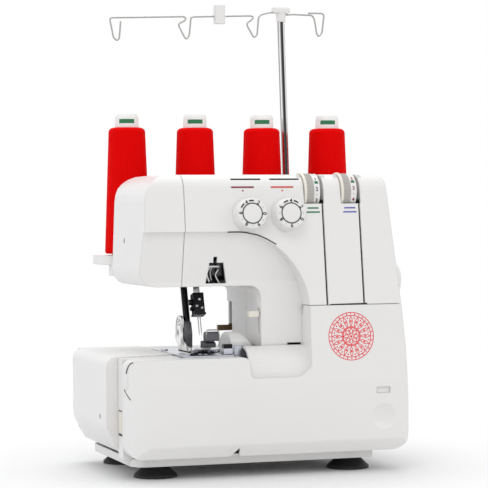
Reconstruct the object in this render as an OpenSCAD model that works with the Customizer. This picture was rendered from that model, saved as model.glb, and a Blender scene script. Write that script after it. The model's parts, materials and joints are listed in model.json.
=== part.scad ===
// Serger (overlock) sewing machine with a four-cone thread stand.
// X runs to the right of the person sewing, Y to the back, Z up; millimetres.
// The origin is the middle of the footprint on the table.

/* [Casing] */
// Width of the base, from the cloth cover's side to the right side
body_w = 311; // [306:1:318]
// Depth of the base, front cover to back
body_d = 199; // [195:1:206]
// Height of the casing's top above the table
body_top = 305; // [298:1:310]
// Height of the bed's top surface above the table
bed_top = 122; // [121:0.5:124]
// Height of the seam between the front cover and the upper casing
seam_z = 172; // [170:1:174]
// Height of the underside of the arm
arm_z = 192; // [190:1:195]
// Height of the step along the arm's front
step_z = 247; // [244:1:249]
// Length of the arm from the throat to its left end
arm_len = 127; // [124:1:132]
// Wall thickness of the plastic covers
wall = 2.6; // [2:0.1:3]
// Gap left between neighbouring covers
seam_gap = 0.5; // [0.4:0.1:0.8]
// Backward lean of the upper front panel in degrees
panel_lean = 7.5; // [6:0.5:8]

/* [Feet] */
// Diameter of a foot's cup
foot_d = 44; // [36:1:48]
// Height of a foot
foot_h = 13; // [11:1:14]

/* [Sewing parts] */
// Backward lean of the needle bar and the presser bar in degrees
bar_lean = 17; // [15:0.5:18]
// Diameter of the needle bar
needle_bar_d = 6.5; // [6:0.1:7.2]
// Diameter of the presser bar
presser_bar_d = 7; // [6.4:0.1:7.6]
// Distance between the two needles
needle_pitch = 2.4; // [2.2:0.1:3]
// Thickness of the needle plate
plate_t = 2; // [1.6:0.1:2.4]
// Radial clearance of a shaft or bar in its bearing
fit = 0.05; // [0.03:0.01:0.08]

/* [Dials] */
// Radius of a needle tension dial
knob_r = 17; // [15:0.5:18]
// How far a needle tension dial stands out of the panel
knob_h = 14; // [12:1:16]
// Radius of a looper tension wheel
wheel_dial_r = 20; // [18:0.5:21]
// Width of a looper tension wheel
wheel_dial_w = 17; // [15:0.5:18]

/* [Drive] */
// Radius of the hand wheel
hand_wheel_r = 27; // [24:1:29]
// How far the hand wheel stands past the base's right side
wheel_reach = 9; // [8:1:12]
// Diameter of the main shaft and the lower shaft
shaft_d = 10; // [9:0.5:11]
// Radius of the motor's belt pulley
motor_pulley_r = 8; // [7:0.5:9]
// Radius of the belt pulley on the main shaft
drive_pulley_r = 30; // [28:1:32]

/* [Thread stand] */
// Height of the tray's top surface above the table
tray_z = 221.5; // [218:0.5:226]
// Depth of the tray
tray_d = 58; // [54:1:60]
// Gap between the back of the arm and the tray
tray_gap = 4; // [3:0.5:6]
// How far the tray stands out behind the base
tray_overhang = 8; // [6:1:10]
// Distance from one cone to the next
spool_pitch = 76; // [74:1:78]
// Height of a thread cone without its core
thread_h = 136; // [130:1:140]
// Radius of a thread cone at its foot
thread_r = 24.5; // [23:0.5:26]
// Radius of a thread cone at its top
thread_top_r = 19.5; // [18:0.5:20.5]
// Backward lean of the guide pole in degrees
pole_lean = 4.5; // [3:0.5:5]
// Diameter of the guide pole's rod
pole_d = 8; // [7:0.5:8.5]
// Height of the guide wire above the table
wire_z = 478; // [470:1:490]
// Diameter of the guide wire
wire_d = 2.2; // [2:0.1:3]

/* [Hidden] */

$fn = 48;
over = 1;                                  // how far a cutter runs past a face
soft_gap = 0.3;                            // gap between pieces that nearly touch

overall_w = body_w + wheel_reach;
overall_d = body_d + tray_overhang;
left_x = -overall_w / 2;                   // cloth cover's side
right_x = left_x + body_w;                 // widest place of the right side
front_y = -overall_d / 2;                  // front cover's face
rear_y = front_y + body_d;                 // back of the base
arm_rear = rear_y + tray_overhang - tray_d - tray_gap; // back of the arm and the column

// ---- casing ----
side_draft = tan(4.7);                     // slope of the right side
wide_z = 57;                               // height at which the right side is widest
cover_z = 22;                              // lower edge of the front cover
cover_x0 = left_x + 11;                    // left edge of the front cover
throat_x = right_x - 153;                  // column's wall in the throat
arm_x0 = throat_x - arm_len;               // left end of the arm at mid height
face_x = arm_x0 + 43;                      // seam between face cover and arm housing
split_y = front_y + 78;                    // seam between arm housing and rear cover
panel_y = front_y + 5;                     // upper panel's face at the seam
recess_y = front_y + 30;                   // face of the recess beside the throat
step_depth = 4;
arc_x = throat_x - 36;                     // centre of the panel's round lower edge
arc_r = step_z - seam_z + 5;
shoulder_x = arc_x + arc_r;                // left edge of the column's shoulder
bed_split_x = throat_x - 84;               // seam between cloth cover and needle plate
bed_split_y = front_y + 49;                // front edge of the cloth cover
bed_front_z = bed_top - 1;

// ---- needle plate and what is round it ----
plate_x0 = bed_split_x + seam_gap;
plate_w = 54;
plate_y0 = front_y + 24;
plate_d = 126;
plate_z0 = bed_top + 0.5 - plate_t;
needle_x = throat_x - 56;
needle_tip_z = 140;
needle_tip_y = front_y + 58;
lean_t = tan(bar_lean);
presser_x = needle_x - 9;
presser_back = 15;                         // presser bar behind the needle bar
slot_x = [-9, -2.2, 4.6];                  // feed slots, from the needles
slot_w = 3.4;
knife_x = plate_x0 + plate_w + 1.2;

// ---- drive ----
frame_d = 119.5;                           // depth of the casting from the front cover's face
frame_rear = front_y + frame_d;
left_windows = [50, 110, 160];             // heights of the windows that lighten the column's plates
right_windows = [110, 150];
main_y = front_y + 60;
main_z = 195;
low_y = front_y + 84;
low_z = 70;
timing_r = 13;
timing_x = right_x - 46.5;
drive_x = right_x - 36;
motor_gap = 8.5;                           // room round the motor
motor_r = (rear_y - wall - frame_rear - motor_gap - 14.4) / 2;
motor_y = frame_rear + motor_gap + motor_r;
motor_z = cover_z + 13 + motor_r;
motor_x = right_x - 118;
motor_len = 66;
belt_w = 8;
belt_t = 2;

// ---- thread stand ----
tray_rear = rear_y + tray_overhang;
tray_y0 = tray_rear - tray_d;
tray_h = 9.5;
tray_side = 33;
spool_y = tray_rear - tray_d / 2 - 1;
spool_x0 = arm_x0 + 26;
spool_count = 4;
tray_x0 = spool_x0 - tray_side;
tray_w = (spool_count - 1) * spool_pitch + 2 * tray_side;
core_h = 150;
core_top_r = 12.5;
core_foot_r = 17;
core_wall = 1.6;
pole_room = 6.888;                         // room between the third cone and the pole
pole_x = spool_x0 + 2 * spool_pitch + thread_r + pole_room;
pole_y = spool_y + 4;
pole_wall = 1.2;
tube_z0 = 150;
tube_z1 = 298;
rod_z0 = 283;
head_w = 18;
head_h = 7;
loop_x0 = spool_x0 - 4;
loop_pitch = spool_pitch + 1;
loop_half = 4.6;
loop_drop = 25;

// ---- dials ----
knob_z = 264;
left_knob_x = throat_x - 17;
right_knob_x = left_knob_x + 41.3;
dial_z = body_top - 18;
dial_y = front_y + 38;
dial_x = [throat_x + 44, throat_x + 84];
dial_gap = 0.8;
dial_shaft_r = 4;

// ---- functions ----
// y of the needle bar's axis at height z
function bar_y(z) = needle_tip_y + (z - needle_tip_z) * lean_t;
// y of the presser bar's axis at height z
function presser_y(z) = bar_y(z) + presser_back;
// y of the upper panel's face at height z
function panel_at(z) = panel_y + (z - seam_z) * tan(panel_lean);
// x of the right side at height z
function side_at(z) = right_x - (z - wide_z) * side_draft;

// A closed outline with each corner [x, y, r] rounded by an arc of radius r
function unit(v) = v / norm(v);
function corner(a, p, b, r, n) = r < 0.05 ? [p] :
    let (u = unit(a - p), v = unit(b - p), half = acos(u * v) / 2, reach = r / tan(half),
         mid = unit(u + v), c = p + mid * r / sin(half), s = p + u * reach - c, e = p + v * reach - c,
         turn = sign(s[0] * e[1] - s[1] * e[0]), sweep = 180 - 2 * half)
    [for (i = [0:n]) let (w = turn * sweep * i / n) c + [s[0] * cos(w) - s[1] * sin(w),
        s[0] * sin(w) + s[1] * cos(w)]];
function round_path(p, n = 6) = let (m = len(p), q = [for (k = p) [k[0], k[1]]])
    [for (i = [0:m - 1]) each corner(q[(i + m - 1) % m], q[i], q[(i + 1) % m], p[i][2], n)];

// ---- shapes that repeat ----
// Outline in (x, z), extruded along Y
module along_y(y0, y1) { translate([0, y1, 0]) rotate([90, 0, 0]) linear_extrude(y1 - y0) children(); }
// Outline in (y, z), extruded along X
module along_x(x0, x1) { translate([x0, 0, 0]) rotate([90, 0, 90]) linear_extrude(x1 - x0) children(); }
// Outline in (x, y), extruded along Z
module along_z(z0, z1) { translate([0, 0, z0]) linear_extrude(z1 - z0) children(); }
module box(a, b) { translate(a) cube(b - a); }
module rod_x(x0, x1, y, z, r) { translate([x0, y, z]) rotate([0, 90, 0]) cylinder(h = x1 - x0, r = r); }
module rod_y(x, y0, y1, z, r) { translate([x, y0, z]) rotate([-90, 0, 0]) cylinder(h = y1 - y0, r = r); }
module rod_z(x, y, z0, z1, r) { translate([x, y, z0]) cylinder(h = z1 - z0, r = r); }
// Frame of a leaning bar: its own Z runs up along the bar, zero at the height z
module on_bar(x, y, z, lean) { translate([x, y, z]) rotate([-lean, 0, 0]) children(); }
module slab(x0, y0, x1, y1, z0, z1, r) {
    along_z(z0, z1) polygon(round_path([[x0, y0, r], [x1, y0, r], [x1, y1, r], [x0, y1, r]]));
}

// ---- casing solids, inset by t ----
// Front view of arm and column above the seam
module upper_outline(t) {
    polygon(round_path([
        [throat_x + t, seam_z - over, 0], [throat_x + t, arm_z + t, 12], [arm_x0 - 3 + t, arm_z + t, 18],
        [arm_x0 + 3.5 + t, body_top - t, 28 - t], [side_at(body_top) - t, body_top - t, 10],
        [side_at(seam_z - over) - t, seam_z - over, 0]]));
}
// Side view of the same
module upper_side(t) {
    polygon(round_path([
        [panel_at(seam_z - over) + t, seam_z - over, 0], [arm_rear - t, seam_z - over, 0],
        [arm_rear - t - 3, body_top - t, 16 - t], [panel_at(body_top) + t, body_top - t, 18 - t]]));
}
// Plan of the same
module upper_plan(t) {
    polygon(round_path([
        [arm_x0 - 6 + t, panel_y - over + t, 30 - t], [right_x + over - t, panel_y - over + t, 8],
        [right_x + over - t, arm_rear - t, 20 - t], [arm_x0 - 6 + t, arm_rear - t, 24 - t]]));
}
// Space in front of the arm's slanting lower face and of the recess beside the throat
module recess_space(t) {
    intersection() {
        along_x(left_x - over, shoulder_x + t) polygon([
            [front_y - 20, seam_z - 60], [recess_y + t, seam_z - 60], [recess_y + t, arm_z + 5],
            [panel_at(step_z) + step_depth + t, step_z + t], [front_y - 20, step_z + t]]);
        union() {
            along_y(front_y - 20, recess_y + 20) translate([arc_x, step_z - arc_r])
                circle(r = arc_r + t, $fn = 96);
            box([left_x - over, front_y - 20, seam_z - 60], [arc_x, recess_y + 20, step_z + t]);
            box([arc_x - over, front_y - 20, seam_z - 60], [shoulder_x + t, recess_y + 20, step_z - arc_r]);
        }
    }
}
module upper_solid(t) {
    difference() {
        intersection() {
            along_y(front_y - 10, arm_rear + 10) upper_outline(t);
            along_x(left_x - 10, right_x + 10) upper_side(t);
            along_z(seam_z - 2, body_top + 2) upper_plan(t);
        }
        recess_space(t);
    }
}
module upper_shell() {
    difference() {
        upper_solid(0);
        upper_solid(wall);
        box([throat_x + wall, recess_y + wall, seam_z - 5],
            [side_at(seam_z) - wall - 1, arm_rear - wall, seam_z + 4]);
    }
}
// Fillet-edged cover outlines in the front view
module front_outline(t) {
    polygon(round_path([
        [cover_x0 + t, cover_z + t, 14], [cover_x0 + t, bed_front_z - t, 9],
        [throat_x - 22 - t, bed_front_z - t, 6], [throat_x - 20 - t, 100 - t, 4],
        [shoulder_x - 12 + t, 100 - t, 9], [shoulder_x + t, 109 - t, 5],
        [shoulder_x + t, seam_z - seam_gap - t, 0], [side_at(seam_z) - t, seam_z - seam_gap - t, 0],
        [right_x - t, wide_z, 14], [right_x - 4 - t, cover_z + t, 19]]));
}
module front_side(t) {
    polygon(round_path([
        [front_y + 5 + t, cover_z + t, 0], [front_y + t, cover_z + 12, 10], [front_y + t, 94, 12],
        [panel_y + t - 0.4, seam_z, 0], [hinge_y + 11, seam_z, 0], [recess_y, seam_z - 14, 0],
        [recess_y, cover_z + t, 0]]));
}
module front_plan(t) {
    polygon(round_path([
        [cover_x0 + t, front_y + t, 22], [right_x - t, front_y + t, 12], [right_x - t, recess_y + 3, 0],
        [cover_x0 + t, recess_y + 3, 0]]));
}

// ---- base ----
base_z = foot_h;
base_x0 = left_x + 20;
base_x1 = right_x - 31;
base_y0 = front_y + 21;
base_y1 = rear_y - 6;
foot_x = [left_x + 50, right_x - 53];
foot_y = [front_y + 48, rear_y - 26];
hinge_y = front_y + 13.5;
hinge_z = cover_z + 5.5;
hinge_r = 2;
lug_x = [cover_x0 + 26, right_x - 60];
lug_w = 6;
cover_travel = 5;                          // how far the front cover slides to the right

module base_pan() {
    color("whitesmoke") difference() {
        union() {
            slab(base_x0, base_y0, base_x1, base_y1, base_z, cover_z - 1, 15);
            slab(base_x0 + 12, recess_y + 2, base_x1 - 10, base_y1, cover_z - 1 - over, cover_z + 3, 8);
            for (x = lug_x) {
                rod_x(x, x + lug_w, hinge_y, hinge_z, hinge_r + 1.4);
                box([x, hinge_y, cover_z + 0.4], [x + lug_w, recess_y + 3.8, hinge_z]);
            }
            corner_post();
        }
        for (x = lug_x) rod_x(x - 1, x + lug_w + 1, hinge_y, hinge_z, hinge_r + fit);
        // cups' stems and the ribbed underside
        for (x = foot_x, y = foot_y) rod_z(x, y, base_z - 1, base_z + 3.2, 6);
        for (i = [0:5]) box([foot_x[0] + 30 + i * 20, foot_y[0] + 4, base_z - 1],
            [foot_x[0] + 42 + i * 20, foot_y[1] - 30, base_z + 3]);
    }
}
// Hollow post at the front left corner, between the front cover and the cloth cover
// Space that the cloth cover sweeps as it turns about its hinge
module swept(t) {
    rod_z(cloth_hinge[0], cloth_hinge[1], 0, body_top, cloth_hinge[1] - bed_split_y + t);
}
post_x0 = cover_x0 + 1;
module corner_post() {
    difference() {
        box([post_x0, recess_y + 1, cover_z - 2], [bed_split_x - 1, bed_split_y + 30, bed_front_z]);
        difference() {
            box([post_x0 + wall, recess_y + 1 + wall, cover_z - 3],
                [bed_split_x, bed_split_y + 31, bed_front_z - wall]);
            swept(seam_gap + wall);
        }
        swept(seam_gap);
        box([post_x0 - 1, latch_y - 5.5, latch_z0 - 2], [post_x0 + wall + 1, latch_y + 5.5, latch_z1 + 0.5]);
    }
}
module rubber_feet() {
    color("black") for (x = foot_x, y = foot_y) translate([x, y, 0]) rotate_extrude() polygon(round_path([
        [0, 2, 0], [foot_d / 2 - 5, 0.6, 1], [foot_d / 2 - 4, 0, 0], [foot_d / 2, 0, 0],
        [foot_d / 2, 2.5, 1], [15, foot_h - 4, 3],
        [11, foot_h, 0], [5.9, foot_h, 0], [5.9, foot_h + 3, 0], [0, foot_h + 3, 0]]));
}

// ---- frame: the casting that carries shafts and bars ----
frame_x0 = bed_split_x + 2;
col_x0 = throat_x + 8;
col_x1 = right_x - 58;
guide_x = throat_x - 16;                    // guide of the upper knife
module frame() {
    color("silver") difference() {
        union() {
            // bed: floor plate, two walls and a deck behind the needle plate
            box([frame_x0, front_y + 34, cover_z + 3], [right_x - 32, frame_rear, cover_z + 9]);
            box([frame_x0, recess_y + 0.5, cover_z + 3], [frame_x0 + 6, frame_rear, plate_z0]);
            box([guide_x, recess_y + 0.5, cover_z + 3], [guide_x + 7, frame_rear, bed_top - 14]);
            box([frame_x0, recess_y + 0.5, 62], [guide_x + 7, front_y + 36.5, 76]);
            box([frame_x0, frame_rear - 6, cover_z + 3], [plate_x0 + plate_w, frame_rear, plate_z0]);
            box([frame_x0, frame_rear - 6, cover_z + 3], [guide_x + 7, frame_rear, bed_top - 14]);
            // posts of the loopers' pivots
            for (p = [[upper_pivot, looper_y + 12], [lower_pivot, looper_y + 24]])
                box([p[0][0] - 6, p[1] + soft_gap, cover_z + 8], [p[0][0] + 6, p[1] + 6, p[0][1] + 5.5]);
            // column: two plates joined by a back
            box([col_x0, front_y + 40, cover_z + 9], [col_x0 + 7, frame_rear, body_top - 18]);
            box([col_x1, front_y + 42, cover_z + 9], [col_x1 + 7, frame_rear, main_z + 30]);
            box([col_x0, frame_rear - 7, cover_z + 9], [col_x1 + 7, frame_rear, main_z + 30]);
            // arm: a beam to the head that holds the two bars
            box([arm_x0 + 12, frame_rear - 12, arm_z + 40], [col_x0 + 7, frame_rear - 2, body_top - 18]);
            box([needle_x - 24, front_y + 62, arm_z + 10], [needle_x + 12, frame_rear - 2, arm_z + 22]);
            box([needle_x - 24, front_y + 78, body_top - 52],
                [needle_x + 12, frame_rear - 2, body_top - 40]);
            box([needle_x - 24, frame_rear - 8, arm_z + 10], [needle_x + 12, frame_rear - 2, body_top - 40]);
            // ears of the presser lifter's shaft and of the take-up lever's shaft
            for (x = [needle_x - 24, needle_x + 8])
                box([x, lifter_y - 6, arm_z + 10], [x + 4, lifter_y + 6, lifter_z + 6]);
            box([needle_x + 10, front_y + 64, arm_z + 10], [needle_x + 22, front_y + 67, arm_z + 22]);
            box([needle_x + 17, take_up_y - 5, arm_z + 10], [needle_x + 22, front_y + 67, take_up_z + 5]);
            // bearings of the main shaft and the lower shaft
            rod_x(col_x0 - 3, col_x0 + 12, main_y, main_z, 11);
            rod_x(col_x1 - 3, col_x1 + 10, main_y, main_z, 11);
            rod_x(bed_split_x, bed_split_x + 12, low_y, low_z, 11);
            rod_x(col_x1 - 3, col_x1 + 10, low_y, low_z, 11);
        }
        rod_x(col_x0 - 5, col_x1 + 14, main_y, main_z, shaft_d / 2 + fit);
        rod_x(bed_split_x - 2, col_x1 + 14, low_y, low_z, shaft_d / 2 + fit);
        on_bar(needle_x, bar_y(arm_z), arm_z, bar_lean) cylinder(h = 130, r = needle_bar_d / 2 + fit);
        on_bar(presser_x, presser_y(arm_z), arm_z, bar_lean) cylinder(h = 130, r = presser_bar_d / 2 + fit);
        for (p = [[upper_pivot, looper_y + 12], [lower_pivot, looper_y + 24]])
            rod_y(p[0][0], p[1], p[1] + 7, p[0][1], 3 + fit);
        rod_x(needle_x - 26, needle_x + 14, lifter_y, lifter_z, lifter_r + fit);
        rod_x(needle_x + 16, needle_x + 23, take_up_y, take_up_z, take_up_r + fit);
        // guides of the feed bars and the needle plate's screw holes
        for (b = feed_bars) box([needle_x + b[0] - fit, frame_rear - 7, b[1] - fit],
            [needle_x + b[0] + 4 + fit, frame_rear + 1, b[1] + 8 + fit]);
        for (p = screw_at) rod_z(p[0], p[1], bed_top - 9, bed_top, screw_r);
        // lightening windows in the column's plates
        for (z = left_windows) rod_x(col_x0 - 1, col_x0 + 8, frame_rear - 24, z, 13);
        for (z = right_windows) rod_x(col_x1 - 1, col_x1 + 8, frame_rear - 20, z, 11);
    }
}

// ---- covers ----
window_x = [needle_x - 3, needle_x + 19];
window_z = [arm_z + 3, arm_z + 30];
module arm_housing() {
    color("white") difference() {
        union() {
            intersection() {
                upper_shell();
                box([face_x + seam_gap / 2, front_y - 10, seam_z], [right_x + 10, split_y, body_top + 5]);
            }
            // inner wall of the recess carries on down beside the throat
            difference() {
                box([throat_x, recess_y, bed_top + 8], [shoulder_x + wall, recess_y + wall, seam_z + 1]);
                box([shoulder_x - 16, recess_y - 1, bed_top + 7],
                    [shoulder_x - 1, recess_y + 4, bed_top + 11]);
            }
            box([throat_x, recess_y, bed_top + 8], [throat_x + wall, split_y, seam_z + 1]);
            // ribs that carry the looper wheels' axles
            for (x = dial_x, s = [-5, wheel_dial_w + 4.5])
                box([x + s, dial_y - 10, dial_z - 8], [x + s + 3, dial_y + 10, body_top - 1]);
        }
        // window of the take-up lever
        along_y(front_y, recess_y + 20) polygon([
            [window_x[0], window_z[0]], [window_x[1], window_z[0]], [window_x[1] - 4, window_z[1] - 6],
            [window_x[1] - 11, window_z[1] - 6], [window_x[1] - 11, window_z[1]],
            [window_x[1] - 15, window_z[1]],
            [window_x[1] - 15, window_z[1] - 6], [window_x[0] + 3, window_z[1] - 6]]);
        bar_holes();
        wheel_pocket();
        // seats of the needle dials' shafts
        for (x = [left_knob_x, right_knob_x]) on_panel(x, knob_z) translate([0, 0, -10])
            cylinder(h = 20, r = dial_shaft_r + fit);
        for (x = dial_x) rod_x(x - 7, x + wheel_dial_w + 9, dial_y, dial_z, dial_shaft_r + fit);
        // slots of the looper wheels
        for (x = dial_x) box([x - dial_gap, front_y, dial_z - 12],
            [x + wheel_dial_w + dial_gap + 3, dial_y + 14, body_top + 5]);
        // thread slots over the needle dials and channels under the looper wheels
        for (x = [left_knob_x, right_knob_x]) translate([x, panel_at(body_top - 6), body_top - 5])
            cube([32, 18, 1.4], center = true);
        for (x = dial_x) box([x + wheel_dial_w + 1, front_y, seam_z - 1],
            [x + wheel_dial_w + 3, panel_at(dial_z) + 4, dial_z]);
        lever_slot();
        lamp_seat();
    }
}
// Holes for the two bars in the arm's underside
module bar_holes() {
    on_bar(needle_x, bar_y(arm_z), arm_z, bar_lean) translate([0, 0, -12]) cylinder(h = 24, r = 6);
    on_bar(presser_x, presser_y(arm_z), arm_z, bar_lean) translate([0, 0, -12]) cylinder(h = 24, r = 5.5);
}
// Round opening in the side for the hand wheel
module wheel_pocket() { rod_x(right_x - 27, right_x + 10, main_y, main_z, hand_wheel_r + 3); }
// Frame of a point on the upper panel: its own Z points out of the panel
module on_panel(x, z) { translate([x, panel_at(z), z]) rotate([90 - panel_lean, 0, 0]) children(); }
module lever_slot() {
    box([throat_x - 5, recess_y + 6, bed_top + 20], [throat_x + 5, recess_y + 10, seam_z - 3]);
}
module lamp_seat() {
    box([throat_x - 34, recess_y + 14, arm_z - 2], [throat_x - 16, recess_y + 34, arm_z + wall + 1]);
}

module face_cover() {
    color("white") difference() {
        intersection() {
            upper_shell();
            box([arm_x0 - 20, front_y - 10, seam_z], [face_x - seam_gap / 2, arm_rear + 10, body_top + 5]);
        }
        rod_x(arm_x0 - 12, arm_x0 + 6, front_y + 91, 238, 3);
    }
}
deck_z = bed_top - 0.5;
column_end = plate_y0 + plate_d;
// Column below the seam: its outline inset by t
module column_outline(t) {
    polygon([[throat_x + t, deck_z - 2], [side_at(deck_z - 2) - t, deck_z - 2],
        [side_at(seam_z + 1) - t, seam_z + 1], [throat_x + t, seam_z + 1]]);
}
// Space round the drive belt
module belt_space() {
    hull() {
        rod_x(drive_x + 1 - soft_gap, drive_x + 1 + belt_w + soft_gap, main_y, main_z,
            drive_pulley_r + belt_t + 2 * soft_gap);
        rod_x(drive_x + 1 - soft_gap, drive_x + 1 + belt_w + soft_gap, motor_y, motor_z,
            motor_pulley_r + belt_t + 2 * soft_gap);
    }
}
module rear_cover() {
    color("white") difference() {
        union() {
            intersection() {
                upper_shell();
                box([face_x + seam_gap / 2, split_y + seam_gap, seam_z],
                    [right_x + 10, arm_rear + 10, body_top + 5]);
            }
            // column's back and throat wall down to the deck
            intersection() {
                difference() {
                    along_y(front_y, arm_rear + over) column_outline(0);
                    along_y(front_y - 1, arm_rear - wall) column_outline(wall);
                }
                along_z(deck_z - 1, seam_z + 0.3) polygon(round_path([
                    [throat_x, split_y + seam_gap, 0], [right_x, split_y + seam_gap, 0],
                    [right_x - 5, arm_rear, 20], [throat_x, arm_rear, 20]]));
            }
            // deck and back wall of the base, with the motor's bay
            difference() {
                deck_shape(0, column_end + seam_gap, cover_z + 3.5, deck_z);
                deck_shape(wall, column_end - 8, cover_z, deck_z - wall);
                for (i = [0:7]) box([throat_x + 20 + 9 * i, rear_y - 5, 50],
                    [throat_x + 24 + 9 * i, rear_y + 1, 80]);
            }
            // wall behind the cloth cover, and the lugs of its hinge
            difference() {
                along_y(cloth_hinge[1] + seam_gap, rear_y) cloth_outline(0);
                along_y(cloth_hinge[1] - 1, rear_y - wall) cloth_outline(wall);
                box([left_x - 1, cloth_hinge[1] - 1, cover_z], [cloth_hinge[0], rear_y + 1, bed_top + 1]);
                rod_z(cloth_hinge[0], cloth_hinge[1], cover_z, bed_top + 1, barrel_r + soft_gap);
            }
            box([bed_split_x - 1, rear_y - wall, cover_z + 5],
                [bed_split_x + 3, rear_y - 0.1, deck_z - 0.1]);
            for (z = hinge_lugs) {
                rod_z(cloth_hinge[0], cloth_hinge[1], z[0], z[1], barrel_r);
                box([cloth_hinge[0], cloth_hinge[1] + 1, z[0]], [cloth_hinge[0] + 9, rear_y - 0.1, z[1]]);
            }
            // shelf that joins the column's back to the deck
            box([throat_x, arm_rear - wall, deck_z - wall],
                [side_at(deck_z) - wall - 2, column_end + 3, deck_z]);
        }
        rod_z(cloth_hinge[0], cloth_hinge[1], hinge_lugs[0][0] - 1, hinge_lugs[1][1] + 1, cloth_pin_r);
        belt_space();
        bar_holes();
        wheel_pocket();
        box([lifter_bar[0] - 0.6, arm_rear - 5, seam_z + 1],
            [lifter_bar[1] + 0.6, arm_rear + 1, seam_z + 36]);
    }
}
module deck_shape(t, y0, z0, z1) {
    intersection() {
        along_z(z0, z1) polygon(round_path([
            [bed_split_x + seam_gap + t, y0, 0], [right_x - t, y0, 0], [right_x - t, rear_y - t, 16 - t],
            [bed_split_x + seam_gap + t, rear_y - t, 3]]));
        along_y(y0 - 1, rear_y + 1) polygon(round_path([
            [bed_split_x - 1, z0 - 1, 0], [right_x - 5 - t, z0 - 1, 0], [right_x - t, wide_z, 14],
            [side_at(deck_z) - t, deck_z - t, 6], [bed_split_x - 1, deck_z - t, 0]]));
    }
}
inlet_y = front_y + 112;
inlet_z = 52;
module side_cover() {
    color("white") difference() {
        intersection() {
            along_y(front_y + 8, plate_y0 + plate_d) polygon(round_path([
                [right_x - 31, cover_z - 1, 0], [right_x - 4, cover_z - 1, 18], [right_x, wide_z, 14],
                [side_at(seam_z), seam_z - seam_gap, 0], [side_at(seam_z) - 40, seam_z - seam_gap, 0],
                [right_x - 31, cover_z + 20, 0]]));
            union() {
                box([right_x - 60, recess_y + seam_gap, cover_z - 2], [right_x + 5, split_y, seam_z]);
                box([right_x - 60, recess_y + seam_gap, cover_z - 2],
                    [right_x + 5, column_end, deck_z - 2.5]);
            }
        }
        along_y(front_y + 2, plate_y0 + plate_d + 2) polygon(round_path([
            [right_x - 70, cover_z - 1 + wall, 0], [right_x - 4 - wall, cover_z - 1 + wall, 15],
            [right_x - wall, wide_z, 12],
            [side_at(seam_z) - wall, seam_z + 2, 0], [right_x - 70, seam_z + 2, 0]]));
        box([right_x - 20, inlet_y - 15.5, inlet_z - 12.5], [right_x + 5, inlet_y + 15.5, inlet_z + 12.5]);
        wheel_pocket();
        box([right_x - 20, feed_y - 4, seam_z - 26], [right_x + 5, feed_y + 4, seam_z - 0.4]);
    }
}
dimple_depth = 3.4;
dimple_r = 27;
module front_cover() {
    color("white") difference() {
        union() {
            difference() {
                intersection() {
                    along_y(front_y - 1, recess_y - seam_gap) front_outline(0);
                    along_x(left_x, right_x + 1) front_side(0);
                    along_z(cover_z - 1, seam_z) front_plan(0);
                }
                intersection() {
                    along_y(front_y - 1, recess_y + 1) front_outline(wall);
                    along_x(left_x, right_x + 1) front_side(wall);
                    along_z(cover_z - 1, seam_z + 1) front_plan(wall);
                }
            }
            // scoop between the bed and the shoulder
            along_x(throat_x - 20, shoulder_x + 1) polygon(concat(
                [for (a = [0:10:90]) [recess_y - 1 - 25 * cos(a) * 0.9, 131 - 31 * (1 - sin(a))]],
                [for (a = [90:-10:0]) [recess_y - 1 - (25 - wall) * cos(a) * 0.9,
                    131 - wall - (31 - wall) * (1 - sin(a))]]));
            // pad behind the finger dimple
            box([right_x - 46, front_y + 1.5, 42], [right_x - 16, front_y + 6, 72]);
            // knuckles on the hinge rod
            for (x = lug_x) rod_x(x + lug_w + soft_gap, x + lug_w + 10, hinge_y, hinge_z, 3.6);
            for (x = lug_x) box([x + lug_w + soft_gap, front_y + 4, hinge_z - 2.5],
                [x + lug_w + 10, hinge_y, hinge_z + 2.5]);
        }
        for (x = lug_x) rod_x(x + lug_w - 1, x + lug_w + 11, hinge_y, hinge_z, hinge_r + fit);
        for (x = lug_x) box([x - cover_travel - 1, hinge_y - 5.5, cover_z - 1],
            [x + lug_w + 0.2, recess_y + 1, cover_z + wall + 0.5]);
        for (x = lug_x) rod_x(x - cover_travel - 1, x + lug_w + 0.2, hinge_y, hinge_z, 5.5);
        // lower edge ends in front of the base
        box([cover_x0 + wall, base_y0 - seam_gap, cover_z - 1],
            [right_x - wall - 2, recess_y + 1, cover_z + wall + 0.5]);
        // room for the needle plate, the knives and the corner post
        box([plate_x0 - cover_travel - 1, plate_y0 - seam_gap, bed_top - 12],
            [throat_x - 20, recess_y + 1, bed_top + 5]);
        // finger dimple, sight slot and the notch in the lower edge
        translate([right_x - 31, front_y + dimple_depth - dimple_r, 57]) sphere(r = dimple_r);
        box([right_x - 39, front_y - 1, 81], [right_x - 24, front_y + 2, 87]);
        along_y(front_y - 1, front_y + 8)
            polygon([[throat_x - 43, cover_z - 1], [throat_x - 33, cover_z + 9],
            [throat_x - 32, cover_z - 1]]);
    }
}
module hinge_rod() { color("silver") rod_x(lug_x[0] - 4, lug_x[1] + 18, hinge_y, hinge_z, hinge_r); }

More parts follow.
